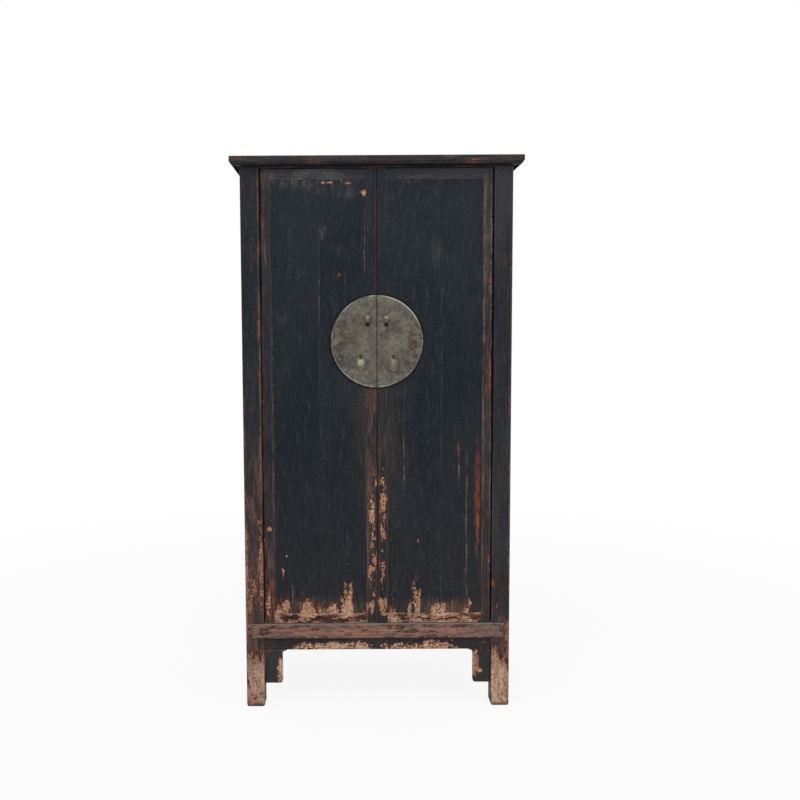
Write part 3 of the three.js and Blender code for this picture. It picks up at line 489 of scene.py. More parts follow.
# Wear that has its own place on the front, in millimetres: what it is, its middle (x, z), half
# its width and height, and how worn it is.
CHIPS = (
    ("chip under the left top rail", -173, 1817, 45, 7, 0.8),
    ("second chip under the left top rail", -105, 1817, 40, 6, 0.72),
    ("knot high on the left door", -44, 1776, 12, 16, 1.15),
    ("chip on the left panel above the plate", -128, 1510, 7, 14, 0.85),
    ("chip low on the left panel", -327, 475, 7, 16, 0.9),
    ("kicked corner of the left panel", -318, 370, 18, 34, 0.66),
    ("kicked foot of the left panel", -242, 352, 55, 32, 0.72),
    ("kicked middle of the left panel", -152, 350, 28, 26, 0.74),
    ("kicked inner foot of the left panel", -108, 385, 30, 70, 0.8),
    ("kicked foot of the right panel", 134, 410, 20, 80, 0.9),
    ("second kick beside it", 112, 360, 10, 40, 0.8),
    ("kicked outer foot of the right panel", 215, 350, 38, 25, 0.84),
    ("kicked corner of the right panel", 320, 370, 9, 26, 0.85),
    ("chip on the left hinge stile", -372, 629, 11, 9, 1.1),
    ("small chip on the left panel", -317, 530, 5, 8, 1.0),
    ("small chip on the right panel", 143, 592, 5, 10, 0.9),
    ("worn meeting arrises", -8, 800, 10, 50, 0.5),
    ("chip low on the left meeting stile", -24, 470, 9, 35, 0.7),
    ("chip high on the left meeting stile", -25, 680, 9, 20, 0.6),
    ("kicked foot of the left meeting stile", -20, 355, 14, 30, 0.75),
    ("kicked foot of the right meeting stile", 20, 355, 16, 36, 0.85),
    ("outer arris of the left post", -456, 500, 10, 360, 0.7),
    ("outer arris of the left post, lower", -450, 370, 18, 130, 0.72),
    ("inner arris of the left post", -405, 500, 12, 190, 0.72),
    ("foot of the left hinge stile", -378, 370, 14, 60, 0.6),
    ("chips high on the right foot", 408, 180, 13, 50, 0.45),
    ("right post beside the bottom rail", 452, 265, 13, 60, 0.58),
    ("chips low on the left post", -432, 450, 22, 100, 0.5),
    ("chips on the inner side of the left post", -408, 660, 10, 60, 0.6),
    ("kicked edge of the apron, left", -150, 212, 160, 19, 1.0),
    ("kicked edge of the apron, right", 150, 212, 160, 19, 1.0),
    ("inner edge of the left spandrel", -340, 130, 16, 55, 0.8),
    ("inner edge of the right spandrel", 342, 150, 17, 45, 0.95),
    ("foot of the right spandrel", 352, 125, 18, 16, 0.95),
    ("right meeting stile", 22, 660, 13, 200, 0.42),
)
HAZES = (
    ("left post", -430, 440, 60, 580, 0.68),
    ("inner arris of the left post", -398, 900, 8, 1100, 0.9),
    ("outer arris of the left post", -458, 680, 12, 420, 0.9),
    ("left hinge stile", -380, 420, 30, 340, 0.42),
    ("left hinge stile, high", -384, 1580, 13, 170, 0.45),
    ("right hinge stile, high", 378, 1660, 17, 260, 0.32),
    ("top of the left hinge stile", -375, 1830, 30, 35, 0.5),
    ("right hinge stile", 375, 1300, 20, 750, 0.16),
    ("inner side of the left meeting stile", -24, 700, 20, 400, 0.3),
    ("outer arris of the right post", 459, 900, 6, 950, 0.6),
    ("left post beside the bottom rail", -438, 250, 40, 90, 0.95),
    ("foot of the left panel", -200, 345, 170, 50, 0.8),
    ("foot of the right panel", 200, 345, 170, 45, 0.75),
    ("right post beside the bottom rail", 438, 250, 40, 80, 0.85),
)
RUBS = (
    ("long rub beside the right hinge stile", 345, 735, 11.5, 205, 1.0),
    ("short rub on the right door", 281, 905, 5, 35, 0.7),
    ("rub on the right hinge stile", 379, 1160, 10, 130, 0.7),
    ("rub on the left hinge stile", -386, 1200, 4, 500, 0.14),
    ("rub low on the left hinge stile", -368, 390, 16, 80, 0.85),
    ("rub at the corner of the left panel", -325, 372, 16, 36, 0.8),
    ("rub at the foot of the left panel", -240, 356, 50, 30, 0.8),
    ("rub at the foot of the right panel", 215, 354, 34, 22, 0.7),
    ("rub on the right meeting stile", 13, 665, 9, 95, 0.6),
    ("rub on the left meeting stile", -12, 720, 6, 50, 0.45),
    ("rub on the outer arris of the left post", -455, 500, 7, 200, 0.5),
    ("rub on the inner arris of the left post", -402, 560, 9, 150, 0.7),
    ("rub low on the left post", -415, 400, 12, 60, 0.5),
    ("rub between the doors above the plate", -3, 1620, 4, 200, 0.45),
    ("rub on the right post", 430, 1550, 12, 30, 0.25),
)
KNOTS = (
    ("knot low on the left foot", -407, 52, 7, 9, 0.75),
    ("knot on the right foot", 448, 75, 4, 6, 0.6),
    ("lacquer left on the left bottom rail", -310, 315, 32, 5.5, 0.85),
    ("lacquer left on the left bottom rail, middle", -215, 319, 40, 5.5, 0.85),
    ("lacquer left on the left bottom rail, inner end", -120, 313, 30, 5, 0.85),
    ("lacquer left on the right bottom rail", 160, 314, 50, 6, 0.9),
    ("lacquer left on the right bottom rail, outer end", 250, 317, 32, 4.5, 0.85),
    ("dark end of the left foot", -430, 0, 50, 12, 0.45),
    ("dark end of the right foot", 430, 0, 50, 10, 0.35),
)
SCRATCHES = (
    ("worn bead of the right panel", 308, 620, 3.4, 360, 0.55),
    ("worn bead of the right panel, lower", 309, 450, 5, 120, 0.5),
    ("outer line of the right hinge stile", 389, 1100, 2.6, 800, 0.9),
    ("outer line of the right hinge stile, higher", 388, 1620, 3.4, 250, 0.9),
    ("inner line of the right hinge stile", 364, 1150, 3, 800, 0.6),
    ("inner line of the right hinge stile, higher", 369, 1680, 4, 200, 0.6),
    ("scuffed top of the left door", -220, 1830, 170, 35, 0.3),
    ("scuffed panel below it", -140, 1790, 90, 30, 0.13),
    ("scuffed top of the right door", 130, 1832, 100, 13, 0.22),
    ("scuff high on the left panel", -180, 1655, 12, 35, 0.32),
    ("scuff high on the right panel", 200, 1585, 22, 50, 0.2),
    ("scratch below the short rub", 281, 840, 2.4, 65, 0.65),
    ("worn bead of the left panel", -358, 900, 2.6, 600, 0.5),
    ("scratch on the right panel", 93, 860, 2.4, 240, 0.5),
    ("scratch on the left panel", -106, 600, 2.4, 50, 0.8),
    ("line on the left meeting stile", -34.5, 630, 2.6, 280, 0.75),
    ("scratch above the plate", -42, 1620, 1.8, 150, 0.45),
    ("scratch at the foot of the left panel", -297, 400, 3, 60, 0.7),
)
SEAM = (("dark seam between the doors", 0, 720, 2.6, 500, 1.0),)
JOINTS = (
    ("joint of the left panel's boards", -196, 1360, 1.8, 420, 0.5),
    ("joint of the right panel's boards", 221, 1220, 1.8, 500, 0.4),
)


def placed_wear(root, place, wears):
    """The strongest of several soft oval patches at each point."""
    total = None
    for _, x, z, wide, tall, amount in wears:
        middle = (x / MM_IN_METRE, 0.0, z / MM_IN_METRE)
        shares = (MM_IN_METRE / wide, 0.0, MM_IN_METRE / tall)
        reach = root.vector("MULTIPLY", root.vector("SUBTRACT", place, middle), shares).length()
        wear = (1 - reach.ramp(0.3, 1.3)) * amount
        total = wear if total is None else total.most(wear)
    return total


def from_plate(root, place):
    """The way to a point from the middle of the plate, in the plane of the doors."""
    offset = root.vector("SUBTRACT", place, (0.0, 0.0, PLATE_CENTRE))
    return root.vector("MULTIPLY", offset, (1.0, 0.0, 1.0))


# How far behind the doors' front the placed marks begin to stop, and where they have stopped.
MARKS_BEHIND = (0.016, 0.02)
# The columns worn beside the seam: where each has its middle, and its width. Then the width of
# the haze that hands leave, and the ring of painted shadow round the plate: its gap and its width.
SEAM_SIDE, SEAM_WIDTH, HAND_WIDTH, PLATE_SHADOW_GAP, PLATE_SHADOW_WIDTH = 0.016, 0.012, 0.062, 0.002, 0.005


def marks_group():
    """Chips, rubs and scratches at their own places, and the haze that hands leave.

    The dark ring round the plate is painted shadow.
    """
    tree, _, leave = group_tree("Door marks", {}, dict.fromkeys(MARK_KINDS, NUMBER))
    root = Wire(tree)
    place = root.node("ShaderNodeTexCoord", output="Object")
    x, z = place.part(0), place.part(2)
    front = 1 - place.part(1).ramp(*(DOOR_FRONT + behind for behind in MARKS_BEHIND))

    def wavering(scale, reach):
        """The place, moved to and fro by noise as far as the reach."""
        wave = root.speckle(place, scale, 3.0, output="Color")
        wave = root.vector("SUBTRACT", wave, (0.5, 0.5, 0.5))
        return root.vector("ADD", place, root.vector("MULTIPLY", wave, reach))

    ragged = wavering(40.0, (0.016, 0.0, 0.05))
    slack = wavering(7.0, (0.014, 0.0, 0.1))
    strips = root.speckle(root.vector("MULTIPLY", place, (1.0, 1.0, 0.16)), 95.0, 2.0)
    lumps = root.speckle(root.vector("MULTIPLY", place, (1.0, 1.0, 0.42)), 70.0, 2.0)
    chips = placed_wear(root, ragged, CHIPS) * (0.68 + 0.42 * strips.ramp(0.4, 0.56))
    beside_seam = (abs(x) - SEAM_SIDE).bell(SEAM_WIDTH) * z.ramp(0.29, 0.36)
    beside_seam = beside_seam * (1 - z.ramp(0.72, 0.98)) * (0.14 + 0.6 * lumps.ramp(0.45, 0.59))
    hands = x.bell(HAND_WIDTH) * z.ramp(0.55, 0.95) * (1 - z.ramp(1.1, 1.3))
    hazes = placed_wear(root, ragged, HAZES) + 0.42 * hands
    scratches = placed_wear(root, slack, SCRATCHES).most(placed_wear(root, place, JOINTS))
    # Painted shadow in a ring just outside the plate's rim.
    plate_shadow = from_plate(root, place).length() - PLATE_RADIUS - PLATE_SHADOW_GAP
    plate_shadow = plate_shadow.bell(PLATE_SHADOW_WIDTH)
    # Dark marks from KNOTS and SEAM.
    darkening = placed_wear(root, ragged, KNOTS).most(placed_wear(root, place, SEAM))
    results = (chips + beside_seam, hazes, placed_wear(root, ragged, RUBS), scratches,
               (0.88 * plate_shadow).most(darkening))
    finish_group(tree, leave, {label: wire * front for label, wire in zip(MARK_KINDS, results)})
    return tree


# ---------------------------------------------------------------- operators


class ARMOIRE_OT_lacquer_carcass(bpy.types.Operator):
    """Lacquers the cap, posts, rails, aprons, sides and back"""

    bl_idname = "armoire.lacquer_carcass"
    bl_label = "Lacquer Carcass"

    def execute(self, context):
        sheltered = dict(wear=-0.05, line=0.3, haze=0.1)
        exposed = dict(wear=0.05, line=0.8, edge=0.2, haze=0.15)
        behind = dict(sheltered, inner=(0, -1, 0))
        before = dict(inner=(0, 1, 0))
        in_case = dict(inner_above=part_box("bottom_rail_front")[0].z)
        members = {
            "cap_rail_front": ("x", dict(wear=-0.01, haze=0.42, line=0.4)),
            "cap_rail_back": ("x", sheltered),
            "cap_board_front": ("x", dict(exposed, inner=(0, 0, -1))),
            "cap_board_back": ("x", dict(exposed, inner=(0, 0, -1))),
            "head_rail_front": ("x", dict(before, wear=0.02, haze=0.4, red=0.4, line=0.3)),
            "head_rail_back": ("x", behind),
            "bottom_rail_back": ("x", behind),
            "back_muntin": ("z", behind),
            "post_front_left": ("z", dict(before, **in_case, wear=-0.02, haze=0.05, red=0.2,
                                          line=1.0, edge=0.2, dirt=0.1, foot=1.0, warm=0.3)),
            "post_front_right": ("z", dict(before, **in_case, wear=0.02, haze=0.1, fade=0.3,
                                           red=0.05, line=1.0, edge=0.14, foot=0.9)),
            "spandrel_left": ("z", dict(before, wear=-0.06, edge=0.3, fade=0.5, haze=0.05,
                                        foot=0.0)),
            "spandrel_right": ("z", dict(before, wear=0.0, edge=0.3, fade=0.8, haze=0.1,
                                         foot=0.0)),
            "bottom_rail_front": ("x", dict(before, wear=0.04, haze=0.3, brown=0.92, red=0.3,
                                            dirt=0.35, edge=0.3, line=1.0, foot=0.0, dust=1.0)),
            "apron_front": ("x", dict(before, wear=-0.02, kick=0.3, kick_reach=0.012, even=0.5,
                                      haze=0.08, fade=0.4, line=0.3, foot=0.0)),
        }
        for hand, side in HANDS:
            inward = dict(inner=(-side, 0, 0))
            members |= {
                f"cap_rail_{hand}": ("y", dict(exposed, haze=0.4, shine=0.0)),
                f"head_rail_{hand}": ("y", exposed | inward),
                f"bottom_rail_{hand}": ("y", dict(inward, wear=0.5 if side < 0 else 0.45,
                                                  haze=0.7, dirt=0.6, edge=0.3)),
                f"apron_{hand}": ("y", exposed | inward),
                f"side_panel_{hand}": ("z", dict(exposed | inward, kick=0.25)),
                f"back_panel_{hand}": ("z", behind),
                f"post_back_{hand}": ("z", dict(exposed, **in_case, foot=0.6,
                                                inner=(-1.2 * side, -1.2, 0))),
            }
        lacquer_members(context, members)
        return {"FINISHED"}


class ARMOIRE_OT_lacquer_doors(bpy.types.Operator):
    """Lacquers the frames and boards of both doors"""

    bl_idname = "armoire.lacquer_doors"
    bl_label = "Lacquer Doors"

    def execute(self, context):
        frames = dict(inner=(0, 1, 0), foot=0.0)
        boards = dict(frames, wear=-0.2, haze=0.0, kick=0.66, kick_reach=0.042, warm=0.6,
                      line=0.35)
        members = {}
        for hand, side in HANDS:
            left = side < 0
            members |= {
                f"hinge_stile_{hand}": ("z", dict(
                    frames, wear=0.0, haze=0.12 if left else 0.24, fade=0.0 if left else 0.15,
                    red=0.2 if left else 0.3, line=1.3, edge=0.2 if left else 0.1)),
                f"meeting_stile_{hand}": ("z", dict(
                    frames, wear=-0.04, haze=0.05, red=0.3, warm=0.6, line=1.1, edge=0.2)),
                f"door_top_rail_{hand}": ("x", dict(
                    frames, wear=0.0, haze=0.1 if left else 0.04, fade=0.9 if left else 0.4,
                    red=0.2, line=0.6)),
                f"door_bottom_rail_{hand}": ("x", dict(
                    frames, wear=0.5 if left else 0.66, haze=0.5, red=0.2, dirt=0.1, edge=0.1)),
                f"door_board_outer_{hand}": ("z", dict(boards, red=0.5)),
                f"door_board_inner_{hand}": ("z", dict(boards, red=0.3)),
            }
        lacquer_members(context, members)
        return {"FINISHED"}


class ARMOIRE_OT_inside_wood(bpy.types.Operator):
    """Finishes the boards, shelves and battens that the lacquer never reached"""

    bl_idname = "armoire.inside_wood"
    bl_label = "Inside Wood"

    def execute(self, context):
        tone = context.scene.armoire_lacquer
        grains = {"bottom_board": "x", "shelf_lower": "x", "shelf_upper": "x", "cap_batten": "y"}
        for level in ("lower", "upper"):
            for hand, _ in HANDS:
                grains[f"shelf_bearer_{level}_{hand}"] = "y"
                grains[f"door_batten_{level}_{hand}"] = "x"
        made = {grain: bare_softwood(f"inside wood {grain}", tone, grain) for grain in "xy"}
        for node, grain in grains.items():
            dress(node, made[grain])
        return {"FINISHED"}


def bare_softwood(name, tone, grain):
    """Old softwood with its rings, rays, stains and dust."""
    material, root = surface(name, "inside_wood")
    place = root.node("ShaderNodeTexCoord", output="Object")
    along = root.vector("MULTIPLY", place, GRAIN[grain])
    bend = root.speckle(along, 9.0, 2.0)
    rings = root.speckle(along, 60.0, 4.0, 0.6)
    fibre = root.speckle(along, 420.0, 3.0, 0.6)
    stain = root.speckle(place, 5.0, 4.0, 0.6)
    colour = root.coats(tone.inside, {
        "rings": ((0.15, 0.083, 0.043), 0.7 * rings.ramp(0.42, 0.64)),
        "pale bends": ((0.36, 0.25, 0.15), 0.35 * bend.ramp(0.45, 0.7)),
        "fibres": ((0.07, 0.045, 0.028), 0.4 * fibre.ramp(0.55, 0.75)),
        "stains": ((0.09, 0.06, 0.04), 0.5 * stain.ramp(0.5, 0.75)),
    })
    return finish_surface(material, {"Base Color": colour, "Roughness": 0.68 + 0.2 * rings},
                          0.6 * rings + 0.4 * fibre, 0.5, 0.0005, {"Specular IOR Level": 0.3})


# Dark patches about the fittings: painted shade below the loops and at the pins, and tarnish
# on the left half. Each gives what it is, its middle (x, z), half its width and height, how dark.
PAINTED_SHADE_AND_TARNISH = (
    ("below the left loop", -32, 1336, 9, 8, 0.8),
    ("below the right loop", 32, 1336, 8, 7, 0.75),
    ("left pin", -56, 1231.5, 5.5, 6, 1.0),
    ("right pin", 56, 1231.5, 5, 5, 0.9),
    ("beside the left pull", -31, 1214, 8, 11, 0.4),
    ("high on the left half", -80, 1355, 11, 11, 0.45),
    ("tarnish over the left half", -85, 1300, 80, 110, 0.18),
)
# Painted highlights on the pulls, where the metal is also smoother: what it is, its middle,
# half width and height, how bright.
PAINTED_HIGHLIGHTS = (
    ("heart of the left pull", -55.5, 1209, 12, 13, 1.25),
    ("middle of the right pull", 55.5, 1208, 8, 15, 0.9),
)


def white_brass(name, brass, reach, bright=0.0):
    """Aged white brass: tarnish in clouds, fine scratches, and bright metal where it is rubbed.

    It also has painted highlights on the rim, on faces that turn up and on the pulls' middles,
    and painted shade on faces that turn down, below the loops and at the pins. Bright sets how
    strong the painted highlight and shade on the turned faces are.
    """
    material, root = surface(name, "white_brass")
    place = root.node("ShaderNodeTexCoord", output="Object")
    facing = root.node("ShaderNodeTexCoord", output="Normal")
    offset = from_plate(root, place)
    out, side = offset.length() / reach, abs(place.part(0)) / reach
    patch = root.speckle(place, 13.0, 4.0, 0.6)
    cloud = root.speckle(place, 34.0, 4.0, 0.62)
    mottle = root.speckle(place, 110.0, 4.0, 0.65)
    grit = root.speckle(place, 330.0, 3.0, 0.6)
    brush = root.speckle(root.vector("MULTIPLY", place, (1.0, 1.0, 0.12)), 700.0, 2.0)
    stain = (0.35 * patch.ramp(0.44, 0.62) + 0.8 * side.ramp(0.5, 0.85)) * cloud.ramp(0.38, 0.58)
    front, upward = -facing.part(1), facing.part(2)
    # Painted highlight on faces that turn up and away from the front.
    painted_top_highlight = (1 - front.ramp(0.8, 0.94)) * upward.ramp(-0.02, 0.25) * 0.5
    # The painted highlights of the upward faces and of the pulls' middles.
    painted_highlight = painted_top_highlight.most(placed_wear(root, place, PAINTED_HIGHLIGHTS) * (0.4 + 0.8 * cloud.ramp(0.4, 0.6)))
    # Painted highlight on the plate's rim, at its upper right and, half as strong, at its lower
    # left.
    lit = root.vector("DOT_PRODUCT", root.vector("NORMALIZE", offset), (0.62, 0.0, 0.78),
                      output="Value")
    lit = lit.ramp(0.8, 0.98).most((-lit).ramp(0.85, 1.0) * 0.5)
    # The rim: real wear in clouds, with the painted highlight above.
    rim = out.ramp(0.965, 0.99) * (0.6 * cloud.ramp(0.46, 0.6)).most(lit)
    worn_band = out.ramp(0.8, 0.97) * (grit * cloud).ramp(0.3, 0.4) * 0.8
    # Rubbed metal, joined by the painted highlights of the rim, the upward faces and the pulls.
    rubbed = rim.most(bright * painted_highlight).most(worn_band)
    colour = root.coats(brass.metal, {
        "greenish clouds": ((0.165, 0.16, 0.112), 0.8 * patch.ramp(0.52, 0.38)),
        "grey clouds": ((0.082, 0.075, 0.073), 0.55 * cloud.ramp(0.49, 0.66)),
        "pale clouds": ((0.2, 0.187, 0.155), 0.4 * (1 - cloud.ramp(0.34, 0.5))),
        "brown tarnish": (brass.stain, stain.least(0.9)),
        "dark mottle": ((0.04, 0.034, 0.03), 0.45 * (1 - mottle.ramp(0.36, 0.48))),
        "pale mottle": ((0.27, 0.255, 0.215), 0.45 * mottle.ramp(0.54, 0.68)),
        "pits": ((0.03, 0.026, 0.023), 0.3 * (1 - grit.ramp(0.34, 0.46))),
        # Rubbed metal and the painted highlights, in one bright colour.
        "rubbed and painted highlights": (brass.polish_and_highlight, rubbed),
        # Painted shade on faces that turn down.
        "painted shade underneath": ((0.02, 0.018, 0.016), (-upward).ramp(0.15, 0.7) * bright),
        # Painted shade below the loops and at the pins, and dark tarnish.
        "painted shade and tarnish": ((0.016, 0.014, 0.012), placed_wear(root, place, PAINTED_SHADE_AND_TARNISH)),
    })
    roughness = 0.48 + 0.22 * mottle + 0.12 * stain - 0.2 * rubbed
    return finish_surface(material, {"Base Color": colour, "Roughness": roughness},
                          0.7 * mottle + 0.2 * brush + 0.3 * grit, 0.45, 0.0004,
                          {"Metallic": 0.8})


def placed(name, data):
    """A new object in the scene, with that data."""
    item = bpy.data.objects.new(name, data)
    bpy.context.scene.collection.objects.link(item)
    return item


def evaluated_mesh(item):
    """The plain mesh that an object's modifiers make."""
    bpy.context.view_layer.update()
    return bpy.data.meshes.new_from_object(
        item.evaluated_get(bpy.context.evaluated_depsgraph_get()))


def new_piece(name, mesh, material, node, body):
    """Puts a finished mesh in the scene in place of a CAD node."""
    mesh.materials.clear()
    mesh.materials.append(material)
    piece = placed(name, mesh)
    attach(piece, body)
    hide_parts(node)
    return piece


def smooth_mesh(bm, mesh, sharp):
    """Writes the shape to the mesh, smooth but for edges sharper than that many degrees."""
    for face in bm.faces:
        face.smooth = True
    bm.to_mesh(mesh)
    bm.free()
    mesh.set_sharp_from_angle(angle=math.radians(sharp))
    return mesh


def lofted(name, rings, sharp):
    """A closed mesh through rings of points, the first and the last shrunk to one point."""
    bm = bmesh.new()
    count = len(rings[1])
    first, last = bm.verts.new(rings[0][0]), bm.verts.new(rings[-1][0])
    loops = [[bm.verts.new(point) for point in ring] for ring in rings[1:-1]]
    for index in range(count):
        after = (index + 1) % count
        bm.faces.new((first, loops[0][after], loops[0][index]))
        for one, two in zip(loops, loops[1:]):
            bm.faces.new((one[index], one[after], two[after], two[index]))
        bm.faces.new((last, loops[-1][index], loops[-1][after]))
    bmesh.ops.recalc_face_normals(bm, faces=bm.faces)
    return smooth_mesh(bm, bpy.data.meshes.new(name), sharp)


ARC_STEPS, STRAIGHT_STEPS, FACE_RINGS = 88, 40, 48
# Where a half plate's rings close: how far from its cut, as a share of the plate's radius.
PLATE_MIDDLE = 0.42
# Rings over the plate's rim: their share of its outline, and how far behind the face they lie.
PLATE_RIM = ((1.0, 0.0011), (0.996, 0.0004), (0.99, 0.0))
FACE_REACH = 0.982
# Lumps to the metre of the hammer's broad and small hollows, how deep they are beside each
# other, and where each is taken from on either side.
HAMMER = ((75, 1.0, 0.3), (160, 0.5, 0.7))


def half_plate(brass, side):
    """One half of the round plate: a bevelled rim round a face that the hammer left uneven."""
    inner = side * abs(PLATE_HIGH.x)
    turn = math.acos(abs(inner) / PLATE_RADIUS)
    outline = []
    for step in range(ARC_STEPS + 1):
        angle = turn * (1 - 2 * step / ARC_STEPS)
        outline.append((side * PLATE_RADIUS * math.cos(angle),
                        PLATE_CENTRE + PLATE_RADIUS * math.sin(angle)))
    low, high = outline[-1][1], outline[0][1]
    outline += [(inner, low + (high - low) * step / STRAIGHT_STEPS)
                for step in range(1, STRAIGHT_STEPS)]
    middle = (inner + side * PLATE_MIDDLE * PLATE_RADIUS, PLATE_CENTRE)

    def ring(share, depth, dents=0.0):
        points = []
        for x, z in outline:
            x, z = (middle[0] + share * (x - middle[0]), middle[1] + share * (z - middle[1]))
            dent = sum(deep * noise.noise(Vector((x, side * layer, z)) * scale)
                       for scale, deep, layer in HAMMER)
            points.append((x, PLATE_FACE + depth + dents * (0.5 + 0.5 * dent), z))
        return points

    thick = PLATE_HIGH.y - PLATE_FACE
    rings = [[(middle[0], PLATE_HIGH.y, middle[1])], ring(0.5, thick), ring(1.0, thick)]
    rings += [ring(share, depth) for share, depth in PLATE_RIM]
    rings += [ring(FACE_REACH - FACE_REACH * step / FACE_RINGS, 0.0, brass.hammer)
              for step in range(FACE_RINGS)]
    rings.append([(middle[0], PLATE_FACE + brass.hammer / 2, middle[1])])
    return lofted("half plate", rings, 30.0)


def pull_outline(side):
    """The pull's outline about its hinge: a pointed leaf on the left, an oval on the right."""
    low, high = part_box("pull_left" if side < 0 else "pull_right")
    hinge = HINGES["pull_left" if side < 0 else "pull_right"]
    half, length = (high.x - low.x) / 2, hinge.z - low.z
    neck, top = 0.004, 0.0045
    if side < 0:
        waist, shoulder, belly = -0.018, 0.0145, (half, -0.034, 0.005, -0.042)
    else:
        waist, shoulder, belly = -0.025, 0.0155, (half, -0.041, 0.012, -length)
    right = [((neck, top), (shoulder, top), (half, -0.007), (half, waist)),
             ((half, waist), belly[:2], belly[2:], (0.0, -length))]
    points = [(0.0, top)]
    for curve in right:
        knots = [Vector((*knot, 0.0)) for knot in curve]
        points += [tuple(point[:2]) for point in geometry.interpolate_bezier(*knots, 16)[:-1]]
    points.append((0.0, -length))
    return points + [(-x, z) for x, z in reversed(points[1:-1])]


# The pull's section from its back, over the rim and the groove, to its full middle: shares of
# the outline, and depths from the hinge's plane.
PULL_PROFILE = (
    (0.6, 0.0014), (0.93, 0.0014), (0.985, 0.0008), (1.0, -0.0004), (0.985, -0.0017),
    (0.945, -0.0026), (0.89, -0.0026), (0.835, -0.0015), (0.8, -0.001), (0.76, -0.0013),
    (0.66, -0.0026), (0.5, -0.0037), (0.32, -0.0044), (0.15, -0.0047),
)
PULL_BACK, PULL_FRONT = 0.0014, -0.0048
# Where its middle lies, as a share of the way from the hinge to its point.
PULL_MIDDLE = 0.42
# The notch for the pin's eye: half its width, and how far it goes below the hinge. Past the pull
# the cutter only has to reach far enough. Across the notch lies the bar: its radius, and how
# much of it is let into the metal.
NOTCH, NOTCH_BELOW, PAST = 0.0034, 0.0068, 0.02
BAR, BAR_ENDS = 0.0012, 0.003


def cut_piece(mesh, low, high):
    """The mesh without what lies in the box between two corners."""
    bm = bmesh.new()
    bmesh.ops.create_cube(bm, size=1.0)
    for vert in bm.verts:
        vert.co = [(l + h) / 2 + c * (h - l) for l, h, c in zip(low, high, vert.co)]
    tool_mesh = bpy.data.meshes.new("cutter")
    bm.to_mesh(tool_mesh)
    bm.free()
    blank, cutter = placed("blank", mesh), placed("cutter", tool_mesh)
    modifier = blank.modifiers.new("cut", "BOOLEAN")
    modifier.operation, modifier.solver, modifier.object = "DIFFERENCE", "EXACT", cutter
    result = evaluated_mesh(blank)
    for item in (blank, cutter):
        bpy.data.objects.remove(item)
    if len(result.polygons) < 20:
        raise RuntimeError("the cut left nothing")
    return result


def pull_mesh(side):
    """The pull: a rim, a groove and a full middle, notched for the pin's eye, with its bar."""
    outline = pull_outline(side)
    drop = -PULL_MIDDLE * min(z for _, z in outline)
    hinge = HINGES["pull_left" if side < 0 else "pull_right"]
    centre = hinge - Vector((0, 0, drop))
    rings = [[centre + Vector((0, PULL_BACK, 0))]]
    for share, depth in PULL_PROFILE:
        rings.append([(centre.x + share * x, centre.y + depth, centre.z + share * (z + drop))
                      for x, z in outline])
    rings.append([centre + Vector((0, PULL_FRONT, 0))])
    blank = lofted("pull", rings, 60.0)
    mesh = cut_piece(blank, (centre.x - NOTCH, centre.y - PAST, hinge.z - NOTCH_BELOW),
                     (centre.x + NOTCH, centre.y + PAST, hinge.z + PAST))
    bm = bmesh.new()
    bm.from_mesh(mesh)
    bar = Matrix.Translation(hinge) @ Matrix.Rotation(math.pi / 2, 4, "Y")
    bmesh.ops.create_cone(bm, cap_ends=True, segments=16, radius1=BAR, radius2=BAR,
                          depth=2 * NOTCH + BAR_ENDS, matrix=bar)
    return smooth_mesh(bm, mesh, 60.0)


class ARMOIRE_OT_face_plate(bpy.types.Operator):
    """Hammers out the two halves of the round plate"""

    bl_idname = "armoire.face_plate"
    bl_label = "Face Plate"

    def execute(self, context):
        brass = context.scene.armoire_brass
        metal = white_brass("white brass plate", brass, PLATE_RADIUS)
        for hand, side in HANDS:
            new_piece(f"hammered_plate_{hand}", half_plate(brass, side), metal,
                      f"face_plate_{hand}", f"door_{hand}")
        return {"FINISHED"}


class ARMOIRE_OT_pulls(bpy.types.Operator):
    """Casts the two pulls"""

    bl_idname = "armoire.pulls"
    bl_label = "Pulls"

    def execute(self, context):
        for hand, side in HANDS:
            # The last number sets how strong the pull's painted highlight and shade are.
            metal = white_brass(f"white brass pull {hand}", context.scene.armoire_brass, 1.0,
                                0.75 if side < 0 else 0.35)
            new_piece(f"cast_pull_{hand}", pull_mesh(side), metal, f"pull_{hand}", f"pull_{hand}")
        return {"FINISHED"}


class ARMOIRE_OT_loops_and_pins(bpy.types.Operator):
    """Finishes the lock loops and the split pins"""

    bl_idname = "armoire.loops_and_pins"
    bl_label = "Loops and Pins"

    def execute(self, context):
        # Loops and pins get strong painted highlights on top and painted shade below.
        metal = white_brass("white brass fittings", context.scene.armoire_brass, 1.0, 0.9)
        for hand, _ in HANDS:
            for kind in ("lock_loop", "pull_pin"):
                dress(f"{kind}_{hand}", metal)
        return {"FINISHED"}


# A nail's head: how domed it is, and how far its middle lies behind the plate's face, as shares
# of its diameter. The arc of nails on each half spans so many degrees.
NAIL_DOME, NAIL_SUNK, NAIL_ARC = 0.42, 0.05, 156


